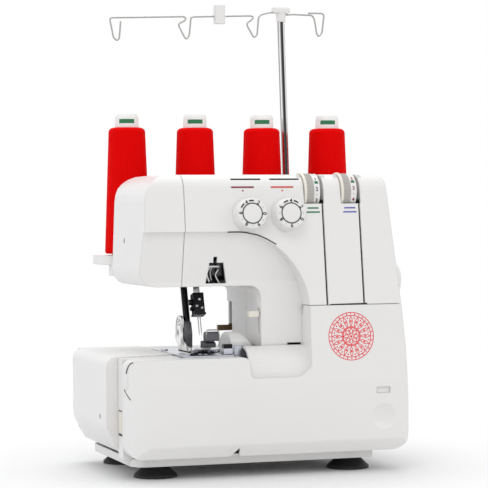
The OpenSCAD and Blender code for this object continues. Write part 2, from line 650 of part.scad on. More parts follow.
// Bed surface right of the needle plate, with the raised guard behind the knives
trim_x0 = plate_x0 + plate_w + seam_gap;
trim_x1 = throat_x - seam_gap;
module bed_trim() {
    color("white") difference() {
        union() {
            box([trim_x0, knife_y + 7, bed_top - 3], [trim_x1, column_end, bed_top - 0.5]);
            intersection() {
                along_y(knife_y + 7, column_end) polygon(round_path([
                    [trim_x0, bed_top - 2, 0], [trim_x0, bed_top + 22, 4],
                    [trim_x0 + 12, bed_top + 22, 12], [trim_x1, bed_top + 2, 9],
                    [trim_x1, bed_top - 2, 0]]));
                along_x(trim_x0, trim_x1) polygon(round_path([
                    [knife_y + 7, bed_top - 2, 0], [knife_y + 7, bed_top + 14, 6],
                    [knife_y + 16, bed_top + 22, 8], [knife_y + 34, bed_top + 22, 14],
                    [knife_y + 60, bed_top - 2, 6]]));
            }
        }
        box([trim_x0 + wall, knife_y + 7 + wall, bed_top - 4], [trim_x1 - wall, knife_y + 44, bed_top + 6]);
        lever_slot();
    }
}

// ---- cloth cover, its hinge and its latch ----
cloth_hinge = [left_x + 5, rear_y - 5];
cloth_pin_r = 2;
barrel_r = 5;
hinge_lugs = [[57, 66], [105, 112]];
module cloth_outline(t) {
    polygon(round_path([
        [left_x + 14 + t, cover_z + 4, 0], [left_x + t, cover_z + 28, 22], [left_x + t, bed_top - t, 10 - t],
        [bed_split_x, bed_top - t, 0], [bed_split_x, cover_z + 4, 0]]));
}
module cloth_cover() {
    color("white") difference() {
        union() {
            difference() {
                intersection() {
                    along_y(bed_split_y, cloth_hinge[1]) cloth_outline(0);
                    swept(0);
                }
                intersection() {
                    along_y(bed_split_y, cloth_hinge[1] + 1) cloth_outline(wall);
                    swept(-wall);
                }
            }
            rod_z(cloth_hinge[0], cloth_hinge[1], hinge_lugs[0][1] + soft_gap, hinge_lugs[1][0] - soft_gap,
                barrel_r);
        }
        rod_z(cloth_hinge[0], cloth_hinge[1], hinge_lugs[0][0] - 1, hinge_lugs[1][1] + 1, cloth_pin_r + fit);
        for (z = hinge_lugs) rod_z(cloth_hinge[0], cloth_hinge[1], z[0] - soft_gap, z[1] + soft_gap,
            barrel_r + soft_gap);
        // sight hole of the release screw and room for the post's latch
        rod_x(left_x - 1, left_x + 5, bed_split_y + 28, 60, 3);
    }
}
module cloth_hinge_pin() {
    color("silver") rod_z(cloth_hinge[0], cloth_hinge[1], hinge_lugs[0][0], hinge_lugs[1][1], cloth_pin_r);
}
// Latch in the corner post that holds the cloth cover
latch_y = recess_y + 10;
latch_z0 = 48;
latch_z1 = 68;
module cover_latch() {
    color("ivory") {
        box([post_x0 - 0.8, latch_y - 5, latch_z0], [post_x0 + wall, latch_y + 5, latch_z1]);
        box([post_x0 + wall - over, latch_y - 3, latch_z0 + 4],
            [post_x0 + wall + 6, latch_y + 3, latch_z1 - 4]);
    }
}

// ---- needle plate, feed dogs, knives ----
module needle_plate() {
    color("lightsteelblue") difference() {
        slab(plate_x0, plate_y0, plate_x0 + plate_w, plate_y0 + plate_d, plate_z0, bed_top + 0.5, 2);
        for (x = slot_x) box([needle_x + x - slot_w / 2, needle_tip_y - 27, bed_top - 3],
            [needle_x + x + slot_w / 2, needle_tip_y + 34, bed_top + 1]);
        box([needle_x - 5, bar_y(bed_top) - 3, bed_top - 3],
            [needle_x + 5, bar_y(bed_top) + 3, bed_top + 1]);
        box([knife_x - 9, plate_y0 + 6, bed_top - 3], [knife_x + 5, plate_y0 + 34, bed_top + 1]);
        for (p = screw_at) rod_z(p[0], p[1], bed_top - 5, bed_top + 1, screw_r + fit);
    }
}
screw_r = 2;
screw_at = [[plate_x0 + 5.5, plate_y0 + 10], [plate_x0 + 5.5, frame_rear - 3]];
module screws() {
    color("silver") for (p = screw_at) difference() {
        union() {
            rod_z(p[0], p[1], bed_top - 8, bed_top + 0.6, screw_r);
            rod_z(p[0], p[1], bed_top + 0.6, bed_top + 2, 3.8);
        }
        box([p[0] - 5, p[1] - 0.5, bed_top + 1.2], [p[0] + 5, p[1] + 0.5, bed_top + 3]);
    }
}
feed_z = bed_top - 0.4;
feed_bars = [[-10, feed_z - 22], [3.5, feed_z - 22]];   // x from the needles and lower face of each feed bar
module feed_dog(y0, y1, bar) {
    for (x = slot_x) along_x(needle_x + x - 1, needle_x + x + 1) polygon(concat(
        [[y1, feed_z - 8], [y0, feed_z - 8]],
        [for (k = [0:floor((y1 - y0) / 1.6) - 1]) each [[y0 + k * 1.6, feed_z - 1],
        [y0 + k * 1.6 + 1.2, feed_z]]], [[y1, feed_z - 1]]));
    box([needle_x + slot_x[0] - 1, y0 + 2, feed_z - 10], [needle_x + slot_x[2] + 1, y1 - 2, feed_z - 6]);
    box([needle_x + bar[0], y0 + 2, bar[1]], [needle_x + bar[0] + 4, y1 - 2, feed_z - 8]);
    box([needle_x + bar[0], y0 + 2, bar[1]], [needle_x + bar[0] + 4, frame_rear + 4, bar[1] + 8]);
}
module main_feed_dog() { color("silver") feed_dog(needle_tip_y + 6, needle_tip_y + 28, feed_bars[0]); }
module front_feed_dog() { color("silver") feed_dog(needle_tip_y - 21, needle_tip_y - 12.5, feed_bars[1]); }
knife_y = plate_y0 + 11.5;
module lower_knife() {
    color("silver") {
        box([knife_x - 2.3, knife_y - 5, bed_top - 30], [knife_x - 0.3, knife_y + 5, bed_top + 0.4]);
        box([knife_x - 14, recess_y + 0.5, 76], [knife_x - 2.3, knife_y + 5, bed_top - 22]);
    }
}
module upper_knife() {
    color("dimgray") {
        box([knife_x, knife_y - 4, bed_top - 16], [knife_x + 1.8, knife_y + 5, bed_top + 9]);
        box([knife_x + 1.8, knife_y - 5, bed_top - 34], [guide_x - soft_gap, knife_y + 6, bed_top + 9]);
    }
}

// ---- loopers ----
upper_pivot = [needle_x + 32, 50];
lower_pivot = [needle_x + 6, 50];
looper_y = needle_tip_y - 6;               // front face of the upper looper's arm
module looper(pivot, y, start, sweep) {
    rod_y(pivot[0], y - 3, y + 12, pivot[1], 5);
    rod_y(pivot[0], y, y + 18, pivot[1], 3);
    along_y(y, y + 4) polygon([[pivot[0] - 4, pivot[1]], [pivot[0] + 4, pivot[1]],
        [pivot[0] + 3, pivot[1] + 46], [pivot[0] - 3, pivot[1] + 46]]);
    translate([pivot[0], y + 3.2, pivot[1]]) rotate([90, 0, 0]) rotate([0, 0, start])
        rotate_extrude(angle = sweep) translate([43, 0]) square([4, 2.4]);
}
module lower_looper() { color("silver") looper(lower_pivot, looper_y + 12, 88, 22); }
module upper_looper() { color("silver") looper(upper_pivot, looper_y, 88, 20); }

// ---- needle bar, presser bar ----
clamp_len = 21;
clamp_half = 5.5;                          // half the clamp's width
clamp_reach = clamp_half + 3;              // to the end of its lower screw
bracket_x1 = needle_x - clamp_reach - 1;   // the foot's bracket passes beside that screw
module needle_bar() {
    color("silver") on_bar(needle_x, bar_y(182), 182, bar_lean) cylinder(h = 108, r = needle_bar_d / 2);
}
module needle_clamp() {
    color("dimgray") on_bar(needle_x, bar_y(163), 163, bar_lean) {
        difference() {
            translate([-clamp_half, -clamp_half, 0]) cube([2 * clamp_half, 2 * clamp_half, clamp_len]);
            translate([0, 0, clamp_len - 1.5]) cylinder(h = 5, r = needle_bar_d / 2 + fit);
            for (s = [-1, 1]) translate([s * needle_pitch / 2, 0, -1])
                cylinder(h = 14, r = 1.05 + fit, $fn = 24);
        }
        translate([-6.2, -6.2, -2]) difference() {
            cube([12.4, 12.4, 2]);
            for (s = [-1, 1]) translate([6.2 + s * needle_pitch / 2, 6.2, -1])
                cylinder(h = 5, r = 1.05 + fit, $fn = 24);
        }
        translate([-clamp_half, 0, 12]) rotate([0, -90, 0]) cylinder(h = 4, r = 3);
        translate([-clamp_half, 0, 5]) rotate([0, -90, 0]) cylinder(h = clamp_reach - clamp_half, r = 2);
    }
}
needle_len = (163 - needle_tip_z) / cos(bar_lean) + 12;
module needles() {
    color("silver") on_bar(needle_x, bar_y(needle_tip_z), needle_tip_z, bar_lean) for (s = [-1, 1])
        translate([s * needle_pitch / 2, 0, 0]) rotate_extrude($fn = 24) polygon([
            [0, 0], [0.5, 5], [0.5, needle_len - 17], [1.05, needle_len - 14], [1.05, needle_len],
            [0, needle_len]]);
}
module presser_bar() {
    color("black") {
        on_bar(presser_x, presser_y(138), 138, bar_lean) cylinder(h = 150, r = presser_bar_d / 2);
        on_bar(presser_x, presser_y(arm_z + 28), arm_z + 28, bar_lean) cylinder(h = 8, r = 7.5);
    }
}
foot_z = bed_top + 0.8;
module presser_foot() {
    y0 = bar_y(bed_top);
    color("silver") difference() {
        union() {
            // sole with an upturned front, and the toe beside the knives
            along_x(needle_x - 15, needle_x + 13) polygon(round_path([
                [y0 + 24, foot_z, 0], [y0 + 26, foot_z + 3, 1], [y0 - 16, foot_z + 3, 2],
                [y0 - 24, foot_z + 7, 0],
                [y0 - 25, foot_z + 5, 1], [y0 - 18, foot_z, 5]]));
            box([needle_x + 5, y0 - 18, foot_z + 2], [needle_x + 13, y0 - 4, foot_z + 11]);
            // ankle with its bracket
            on_bar(presser_x, presser_y(138), 138, bar_lean) translate([-5, -5, -12]) cube([10, 10, 20]);
            box([presser_x - 9, y0 + 4, foot_z + 2], [bracket_x1, y0 + 18, foot_z + 12]);
        }
        on_bar(presser_x, presser_y(138), 138, bar_lean) translate([0, 0, -0.1])
            cylinder(h = 12, r = presser_bar_d / 2 + fit);
        box([needle_x - 5.5, y0 - 9, foot_z - 1], [needle_x + 4.5, y0 + 12, foot_z + 4]);
    }
}
lifter_y = front_y + 73.5;
lifter_z = arm_z + 27;
lifter_r = 3.5;
lifter_bar = [throat_x + 3, throat_x + 7];
module presser_lifter() {
    color("tan") {
        rod_x(needle_x - 25, lifter_bar[1], lifter_y, lifter_z, lifter_r);
        // arm under the presser bar's collar
        box([presser_x - 9, lifter_y, arm_z + 22.6], [presser_x - 4.2, lifter_y + 28, arm_z + 25.4]);
        // bar through the column's back, its leg and its finger piece
        along_x(lifter_bar[0], lifter_bar[1]) polygon([
            [lifter_y - 4, lifter_z + 4], [lifter_y - 4, lifter_z - 3], [arm_rear + 1.5, seam_z + 4],
            [arm_rear + 1.5, seam_z - 31], [arm_rear + 5.5, seam_z - 31], [arm_rear + 5.5, seam_z + 10],
            [lifter_y + 5, lifter_z + 4]]);
        box([throat_x - 10, arm_rear + 1.5, seam_z - 32], [lifter_bar[1], arm_rear + 5.5, seam_z - 26]);
    }
}
take_up_y = recess_y + 30;
take_up_z = arm_z + 25;
take_up_r = 2.7;
module take_up_lever() {
    color("silver") {
        rod_x(needle_x - 4, needle_x + 23, take_up_y, take_up_z, take_up_r);
        for (x = [needle_x + 1, needle_x + 9]) along_x(x, x + 2) polygon(concat(
            [for (a = [180:10:270]) [take_up_y, take_up_z] + [22 * cos(a), 18 * sin(a)]],
            [for (a = [270:-10:180]) [take_up_y, take_up_z] + [18 * cos(a) + 1, 14 * sin(a)]],
            [[take_up_y, take_up_z + 2.7]]));
    }
}
module thread_guides() {
    color("silver") for (x = [window_x[0] + 4, window_x[1] - 8])
        box([x, recess_y + 5, arm_z + wall], [x + 1.6, recess_y + 8, arm_z + 16]);
}
module width_lever() {
    color("ivory") {
        box([throat_x - 12, recess_y + 6.5, seam_z - 12], [throat_x + 5, recess_y + 9.5, seam_z - 6]);
        box([throat_x - 12, recess_y + 3, seam_z - 12], [throat_x - 1, recess_y + 12, seam_z - 6]);
    }
}

// ---- dials ----
module needle_dial(x) {
    on_panel(x, knob_z) {
        translate([0, 0, soft_gap]) rotate_extrude() polygon(round_path([
            [0, 0, 0], [knob_r, 0, 0], [knob_r, 3, 1], [knob_r - 3, knob_h - 1, 1.5], [11, knob_h, 0.5],
            [10.2, knob_h + 1, 0.4], [0, knob_h + 1, 0]]));
        translate([0, 0, -12]) cylinder(h = 13, r = dial_shaft_r);
    }
}
module left_needle_dial() { color("ivory") needle_dial(left_knob_x); }
module right_needle_dial() { color("ivory") needle_dial(right_knob_x); }
module looper_dial(x) {
    rod_x(x, x + 3, dial_y, dial_z, wheel_dial_r);
    rod_x(x + 3, x + wheel_dial_w, dial_y, dial_z, wheel_dial_r - 1.2);
    rod_x(x - 6, x + wheel_dial_w + 8, dial_y, dial_z, dial_shaft_r);
}
module upper_looper_dial() { color("gainsboro") looper_dial(dial_x[0]); }
module lower_looper_dial() { color("gainsboro") looper_dial(dial_x[1]); }
module tension_discs() {
    color("silver") for (x = [left_knob_x, right_knob_x]) on_panel(x, knob_z) difference() {
        for (k = [0:1]) translate([0, 0, -wall - 2 - k * 3.2]) cylinder(h = 1.5, r = 10);
        translate([0, 0, -14]) cylinder(h = 20, r = dial_shaft_r + fit);
    }
}

// ---- drive ----
module hand_wheel() {
    tip = right_x + wheel_reach;
    color("white") translate([0, main_y, main_z]) rotate([0, 90, 0]) difference() {
        rotate_extrude() polygon(round_path([
            [0, tip - 34, 0], [hand_wheel_r, tip - 34, 1], [hand_wheel_r, tip - 22, 4],
            [hand_wheel_r - 9, tip - 3, 8], [hand_wheel_r - 16, tip, 0], [0, tip, 0]]));
        translate([0, 0, tip - 36]) cylinder(h = 22, r = shaft_d / 2);
    }
}
module main_shaft() {
    color("silver") {
        rod_x(col_x0 - 4, right_x + wheel_reach - 14, main_y, main_z, shaft_d / 2);
        rod_x(drive_x, drive_x + belt_w + 2, main_y, main_z, drive_pulley_r);
        rod_x(timing_x, timing_x + belt_w + 2, main_y, main_z, timing_r);
        rod_x(col_x0 + 20, col_x0 + 34, main_y + 4, main_z, 15);
    }
}
module lower_shaft() {
    color("silver") {
        rod_x(bed_split_x + 1, timing_x + belt_w + 6, low_y, low_z, shaft_d / 2);
        rod_x(timing_x, timing_x + belt_w + 2, low_y, low_z, timing_r);
        for (k = [0:2]) rod_x(bed_split_x + 16 + 19 * k, bed_split_x + 26 + 19 * k,
            low_y + 3 * cos(120 * k), low_z + 3 * sin(120 * k), 11);
    }
}
// Belt round two pulleys at (y, z) a and b with radii ra and rb
module belt_path(a, ra, b, rb, g) {
    d = norm(b - a);
    phi = atan2(b[1] - a[1], b[0] - a[0]);
    th = acos((ra - rb) / d);
    polygon(concat([for (i = [0:24]) let (w = phi + th + (360 - 2 * th) * i / 24) a + (ra + g) * [cos(w),
        sin(w)]],
        [for (i = [0:24]) let (w = phi - th + 2 * th * i / 24) b + (rb + g) * [cos(w), sin(w)]]));
}
module belt(x, a, ra, b, rb) {
    along_x(x + 1, x + 1 + belt_w) difference() {
        belt_path(a, ra, b, rb, soft_gap + belt_t);
        belt_path(a, ra, b, rb, soft_gap);
    }
}
module timing_belt() { color("black") belt(timing_x, [main_y, main_z], timing_r, [low_y, low_z], timing_r); }
module drive_belt() {
    color("black") belt(drive_x, [main_y, main_z], drive_pulley_r, [motor_y, motor_z], motor_pulley_r);
}
module motor() {
    color("dimgray") {
        rod_x(motor_x, motor_x + motor_len, motor_y, motor_z, motor_r);
        rod_x(motor_x - 5, motor_x, motor_y, motor_z, 10);
        box([motor_x + 6, motor_y - 20, cover_z + 3], [motor_x + motor_len - 6, motor_y + 20, motor_z - 10]);
    }
}
module motor_pulley() {
    color("silver") {
        rod_x(motor_x + motor_len + 0.5, drive_x + belt_w + 4, motor_y, motor_z, 3);
        rod_x(drive_x, drive_x + belt_w + 2, motor_y, motor_z, motor_pulley_r);
    }
}
feed_x = right_x - 22;
feed_y = recess_y + 5;
module feed_lever() {
    color("white") {
        box([feed_x, feed_y - 3.5, seam_z - 6], [right_x, feed_y + 3.5, seam_z - 1]);
        rod_y(feed_x, feed_y - 3.5, feed_y + 3.5, seam_z - 3.5, 4);
    }
}

// ---- thread stand ----
module spool_tray() {
    color("white") difference() {
        union() {
            difference() {
                slab(tray_x0, tray_y0, tray_x0 + tray_w, tray_rear, tray_z - tray_h, tray_z, 10);
                slab(tray_x0 + wall, tray_y0 + wall, tray_x0 + tray_w - wall, tray_rear - wall,
                    tray_z - tray_h - 1, tray_z - wall, 8);
            }
            for (x = [tray_x0 + 8, tray_x0 + tray_w - 40])
                box([x, arm_rear + soft_gap, tray_z - 21], [x + 30, tray_y0 + 12, tray_z - wall]);
            for (k = [0:spool_count - 1]) rod_z(spool_x0 + k * spool_pitch, spool_y, tray_z - 8,
                tray_z - wall, 7);
            on_bar(pole_x, pole_y, tray_z, pole_lean) translate([0, 0, -9]) cylinder(h = 12, r = 6.8);
        }
        for (k = [0:spool_count - 1]) rod_z(spool_x0 + k * spool_pitch, spool_y, tray_z - 9, tray_z + 1,
            3.5);
        on_bar(pole_x, pole_y, tray_z, pole_lean) translate([0, 0, -20])
            cylinder(h = 40, r = pole_d / 2 + pole_wall + fit);
    }
}
module spool_pins() {
    color("gainsboro") for (k = [0:spool_count - 1])
        translate([spool_x0 + k * spool_pitch, spool_y, tray_z]) {
        translate([0, 0, -8]) cylinder(h = 8, r = 3.5);
        rotate_extrude() polygon(round_path([
            [0, 0.2, 0], [core_foot_r - core_wall - 1, 0.2, 0], [core_foot_r - core_wall - 3, 5, 2],
            [3.5, 8, 2], [3, 70, 1], [0, 72, 0]]));
    }
}
module core(k) {
    translate([spool_x0 + k * spool_pitch, spool_y, tray_z + soft_gap]) rotate_extrude() polygon([
        [core_foot_r - core_wall, 0], [core_foot_r, 0], [core_top_r, core_h - 3], [core_top_r - 1, core_h],
        [core_top_r - core_wall - 1, core_h], [core_top_r - core_wall, core_h - 3]]);
}
module core_1() { color("white") core(0); }
module core_2() { color("white") core(1); }
module core_3() { color("white") core(2); }
module core_4() { color("white") core(3); }
function core_at(z) = core_foot_r + (core_top_r - core_foot_r) * z / (core_h - 3);
module thread(k) {
    z0 = 1.5;
    translate([spool_x0 + k * spool_pitch, spool_y, tray_z + soft_gap]) rotate_extrude() polygon(round_path([
        [core_at(z0) + 0.02, z0, 0], [thread_r, z0, 2], [thread_top_r, thread_h - 4, 6],
        [core_at(thread_h) + 2, thread_h, 2],
        [core_at(thread_h) + 0.02, thread_h, 0]]));
}
module thread_1() { color("red") thread(0); }
module thread_2() { color("red") thread(1); }
module thread_3() { color("red") thread(2); }
module thread_4() { color("red") thread(3); }

// distance along the pole from the tray to the height z
function pole_s(z) = (z - tray_z) / cos(pole_lean);
module on_pole() { on_bar(pole_x, pole_y, tray_z, pole_lean) children(); }
module pole_tube() {
    color("silver") on_pole() difference() {
        translate([0, 0, pole_s(tube_z0)])
            cylinder(h = pole_s(tube_z1) - pole_s(tube_z0), r = pole_d / 2 + pole_wall);
        translate([0, 0, pole_s(tube_z0) + 2])
            cylinder(h = pole_s(tube_z1) - pole_s(tube_z0), r = pole_d / 2 + fit);
    }
}
module pole_rod() {
    color("silver") on_pole() translate([0, 0, pole_s(rod_z0)])
        cylinder(h = pole_s(wire_z) - pole_s(rod_z0) - 6.2, r = pole_d / 2);
}
wire_y = pole_y + (wire_z - tray_z) * tan(pole_lean);
module guide_head() {
    color("white") on_pole() translate([0, 0, pole_s(wire_z)]) difference() {
        union() {
            translate([0, 0, -14]) cylinder(h = 16, r = pole_d / 2 + 2);
            translate([-head_w / 2, -5, 0]) cube([head_w, 10, head_h]);
        }
        translate([0, 0, -15]) cylinder(h = 9, r = pole_d / 2 + fit);
        translate([-head_w, 0, 0]) rotate([0, 90, 0]) cylinder(h = 2 * head_w, r = wire_d / 2 + 0.02);
    }
}
module guide_wire() {
    r = wire_d / 2;
    ends = [for (k = [0:spool_count - 1]) loop_x0 + k * loop_pitch];
    color("silver") {
        for (k = [0:spool_count - 1]) translate([ends[k], wire_y, wire_z]) {
            for (s = [-1, 1]) translate([s * loop_half, 0, -(loop_drop - loop_half)])
                cylinder(h = loop_drop - loop_half, r = r, $fn = 16);
            translate([0, 0, -(loop_drop - loop_half)]) rotate([90, 180, 0])
                rotate_extrude(angle = 180) translate([loop_half, 0]) circle(r = r, $fn = 16);
            for (s = [-1, 1]) translate([s * loop_half, 0, 0]) sphere(r = r, $fn = 16);
        }
        for (k = [0:spool_count - 2]) rod_x(ends[k] + loop_half, ends[k + 1] - loop_half, wire_y, wire_z, r);
    }
}
module wire_clip() {
    x = (loop_x0 + 1.5 * loop_pitch) - 5;
    color("white") difference() {
        box([x, wire_y - 4, wire_z - 5], [x + 11, wire_y + 4, wire_z + 15]);
        rod_x(x - 1, x + 12, wire_y, wire_z, wire_d / 2 + 0.02);
    }
}
module lamp() {
    color("white") box([throat_x - 33.5, recess_y + 14.5, arm_z - 1],
        [throat_x - 16.5, recess_y + 33.5, arm_z + 5]);
}
module power_inlet() {
    color("black") difference() {
        box([right_x - 22, inlet_y - 15, inlet_z - 12], [right_x - wall, inlet_y + 15, inlet_z + 12]);
        box([right_x - 16, inlet_y - 11, inlet_z - 8], [right_x + 1, inlet_y + 11, inlet_z + 8]);
    }
}

base_pan();
rubber_feet();
frame();
arm_housing();
face_cover();
rear_cover();
side_cover();
front_cover();
hinge_rod();
bed_trim();
cloth_cover();
cloth_hinge_pin();
cover_latch();
needle_plate();
screws();
main_feed_dog();
front_feed_dog();
upper_knife();
lower_knife();
upper_looper();
lower_looper();
needle_bar();
needle_clamp();
needles();
presser_bar();
presser_foot();
presser_lifter();
take_up_lever();
thread_guides();
width_lever();
left_needle_dial();
right_needle_dial();
upper_looper_dial();
lower_looper_dial();
tension_discs();
hand_wheel();
main_shaft();
lower_shaft();
timing_belt();
drive_belt();
motor();
motor_pulley();
feed_lever();
spool_tray();
spool_pins();
core_1();
core_2();
core_3();
core_4();
thread_1();
thread_2();
thread_3();
thread_4();
pole_tube();
pole_rod();
guide_head();
guide_wire();
wire_clip();
lamp();
power_inlet();
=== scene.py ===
"""Finish of the overlock machine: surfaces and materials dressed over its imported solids."""
import json
import math

import bmesh
import bpy
import numpy as np
from bpy.props import FloatProperty, FloatVectorProperty, IntProperty, PointerProperty
from bpy.types import Operator, Panel, PropertyGroup
from mathutils import Matrix, Vector


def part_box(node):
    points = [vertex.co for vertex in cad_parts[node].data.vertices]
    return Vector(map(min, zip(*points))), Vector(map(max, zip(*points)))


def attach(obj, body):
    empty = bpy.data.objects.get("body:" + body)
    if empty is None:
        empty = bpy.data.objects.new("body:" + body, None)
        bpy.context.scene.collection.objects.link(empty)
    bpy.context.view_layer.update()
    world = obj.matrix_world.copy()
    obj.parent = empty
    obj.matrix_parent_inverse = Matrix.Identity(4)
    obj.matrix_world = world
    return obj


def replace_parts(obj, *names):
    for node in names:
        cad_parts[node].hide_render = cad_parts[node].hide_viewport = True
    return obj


bl_info = {
    "name": "Overlock Machine Finish",
    "version": (1, 0, 0),
    "blender": (4, 5, 0),
    "location": "View3D > Sidebar > Overlock",
    "description": "Casing, dials, cones and sewing parts of an overlock machine",
    "category": "Object",
}

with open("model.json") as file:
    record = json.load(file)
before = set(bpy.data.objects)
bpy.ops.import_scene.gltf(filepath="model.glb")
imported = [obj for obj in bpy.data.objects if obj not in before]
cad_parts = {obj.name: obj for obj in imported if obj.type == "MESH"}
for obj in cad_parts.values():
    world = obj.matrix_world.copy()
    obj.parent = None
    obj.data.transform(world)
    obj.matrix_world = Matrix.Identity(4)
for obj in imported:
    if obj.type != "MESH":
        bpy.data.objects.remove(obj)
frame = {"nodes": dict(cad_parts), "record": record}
NODES = frame["nodes"]
MM = 0.001
X, Y, Z = (1, 0, 0), (0, 1, 0), (0, 0, 1)

# Stage
CAMERA_PLACE = (-0.6661, -2.0624, 0.2710)
CAMERA_ANGLES = (18, 1.0, 0.4)      # degrees to the right, down and rolled
SENSOR = 36                         # width in millimetres
AIM = (0, 0, 0.2)                   # point that the lamps face
LAMPS = (                           # name, place, width, share of the main lamp's power, colour
    ("key", (-1.1, -1.9, 2.3), 1.6, 1.0, (1.0, 0.99, 0.97)),
    ("side", (-2.3, -0.1, 0.9), 1.4, 0.24, (0.90, 0.91, 1.0)),
    ("far", (1.7, -1.3, 1.3), 1.5, 0.35, (1.0, 0.98, 0.95)),
    ("top", (0, 0.6, 2.2), 1.6, 1.1, (1, 1, 1)))
SKY = (0.97, 0.98, 1.0, 1.0)
FLOOR_SPAN, FLOOR_DROP = 6.0, -0.0002
FADE = (0.15, 0.36)                 # distances between which the floor turns white
# Finishes: noise scales in features to the metre
CLOUDING, GLOSS, GRAIN = 9.0, 60.0, 1900.0
BRUSHING, POLISH = 900.0, 1200.0
PLASTIC_IOR = 1.48
THREAD_PITCH = 0.62 * MM
# Surfaces
BEND_STEPS, CORNER_STEPS = 6, 5     # points on a wire's bend and on an outline's corner
CAP_HEIGHT = 0.7                    # a figure's height as a share of its font's size
BOLD = 0.035                        # growth of a figure's outline as a share of its height
PRINT = 0.12 * MM                   # thickness of printed marks
SUNK = 0.02 * MM                    # depth that flat work is set into what carries it
# Pieces
CORE_RIM = 3 * MM                   # depth of the rim at the top of a cone's core
DIAL_FACE = 13.47 * MM              # height of a needle dial's printed face over its seat
NUMBER_CIRCLE, BAR_CIRCLE = 12.7 * MM, 12.9 * MM
BAND_RADIUS = 18.75 * MM            # a looper wheel's numbered band
LEFT_WALL = -148.0 * MM             # the post's left side


# ---------------------------------------------------------------- settings

def colour(name, value, note):
    """A colour property with its description."""
    return FloatVectorProperty(
        name=name, description=note, subtype="COLOR", size=3, min=0, max=1, default=value)


def length(name, value, note, low=0.0, high=1.0, unit="DISTANCE"):
    """A length property that runs from low to high."""
    return FloatProperty(name=name, description=note, default=value, min=low, max=high, subtype=unit)


class CasingSettings(PropertyGroup):
    """Colours of the moulded parts."""
    plastic: colour("Casing", (0.80, 0.79, 0.775), "Moulded casing plastic")
    cream: colour("Cream", (0.80, 0.76, 0.68), "Latch, width lever and dials' rims")
    edge: length("Edge", 1.4 * MM, "Rounding of the casing's edges", 0.2 * MM, 3 * MM)


class ThreadSettings(PropertyGroup):
    """The thread on the cones."""
    red: colour("Thread", (0.80, 0.002, 0.002), "Colour of the wound thread")
    ridge: length("Ridge", 0.22 * MM, "Height of one wound thread", 0.0, 0.6 * MM)
    turns: IntProperty(
        name="Turns", description="Crossing windings seen round a cone", default=26, min=6, max=60)


class DialSettings(PropertyGroup):
    """The needle dials and the looper wheels."""
    grip: colour("Wheel grip", (0.46, 0.44, 0.41), "Grey grip of the looper wheels")
    ink: colour("Ink", (0.012, 0.012, 0.012), "Printed numbers and bars")
    digit: length("Digit", 3.9 * MM, "Height of a printed number", 2 * MM, 5 * MM)


class OrnamentSettings(PropertyGroup):
    """The rosette on the front cover."""
    across: length("Across", 85.5 * MM, "Place along the machine", -1.0)
    height: length("Height", 139.6 * MM, "Place above the floor")
    radius: length("Radius", 24.6 * MM, "Outer radius", 5 * MM)
    line: length("Line", 0.8 * MM, "Width of a printed line", 0.1 * MM)


class StageSettings(PropertyGroup):
    """Camera, lamps and floor."""
    floor: colour("Floor", (0.8, 0.8, 0.8), "Floor and backdrop")
    key: FloatProperty(
        name="Key", description="Power of the main lamp in watts", default=14, min=0, max=400)
    fill: FloatProperty(
        name="Fill", description="Strength of the light from all round", default=0.80, min=0, max=2)
    lens: length("Lens", 151.97, "Focal length on a 36 mm sensor", 50, 300, "DISTANCE_CAMERA")


# ---------------------------------------------------------------- shader maths

class Field:
    """A socket that takes part in sums; each sum adds its Math node."""

    def __init__(self, owner, socket):
        self.owner = owner
        self.socket = socket

    def sum(self, operation, first, second=0.0):
        """The Math node that works out an operation on two numbers or fields."""
        return self.owner.node("ShaderNodeMath", {"operation": operation}, {0: first, 1: second})

    def __add__(self, other):
        return self.sum("ADD", self, other)

    def __radd__(self, other):
        return self.sum("ADD", other, self)

    def __sub__(self, other):
        return self.sum("SUBTRACT", self, other)

    def __rsub__(self, other):
        return self.sum("SUBTRACT", other, self)

    def __mul__(self, other):
        return self.sum("MULTIPLY", self, other)

    def __rmul__(self, other):
        return self.sum("MULTIPLY", other, self)

    def __truediv__(self, other):
        return self.sum("DIVIDE", self, other)

    def __rtruediv__(self, other):
        return self.sum("DIVIDE", other, self)

    def sine(self):
        """Sine of the field."""
        return self.sum("SINE", self)


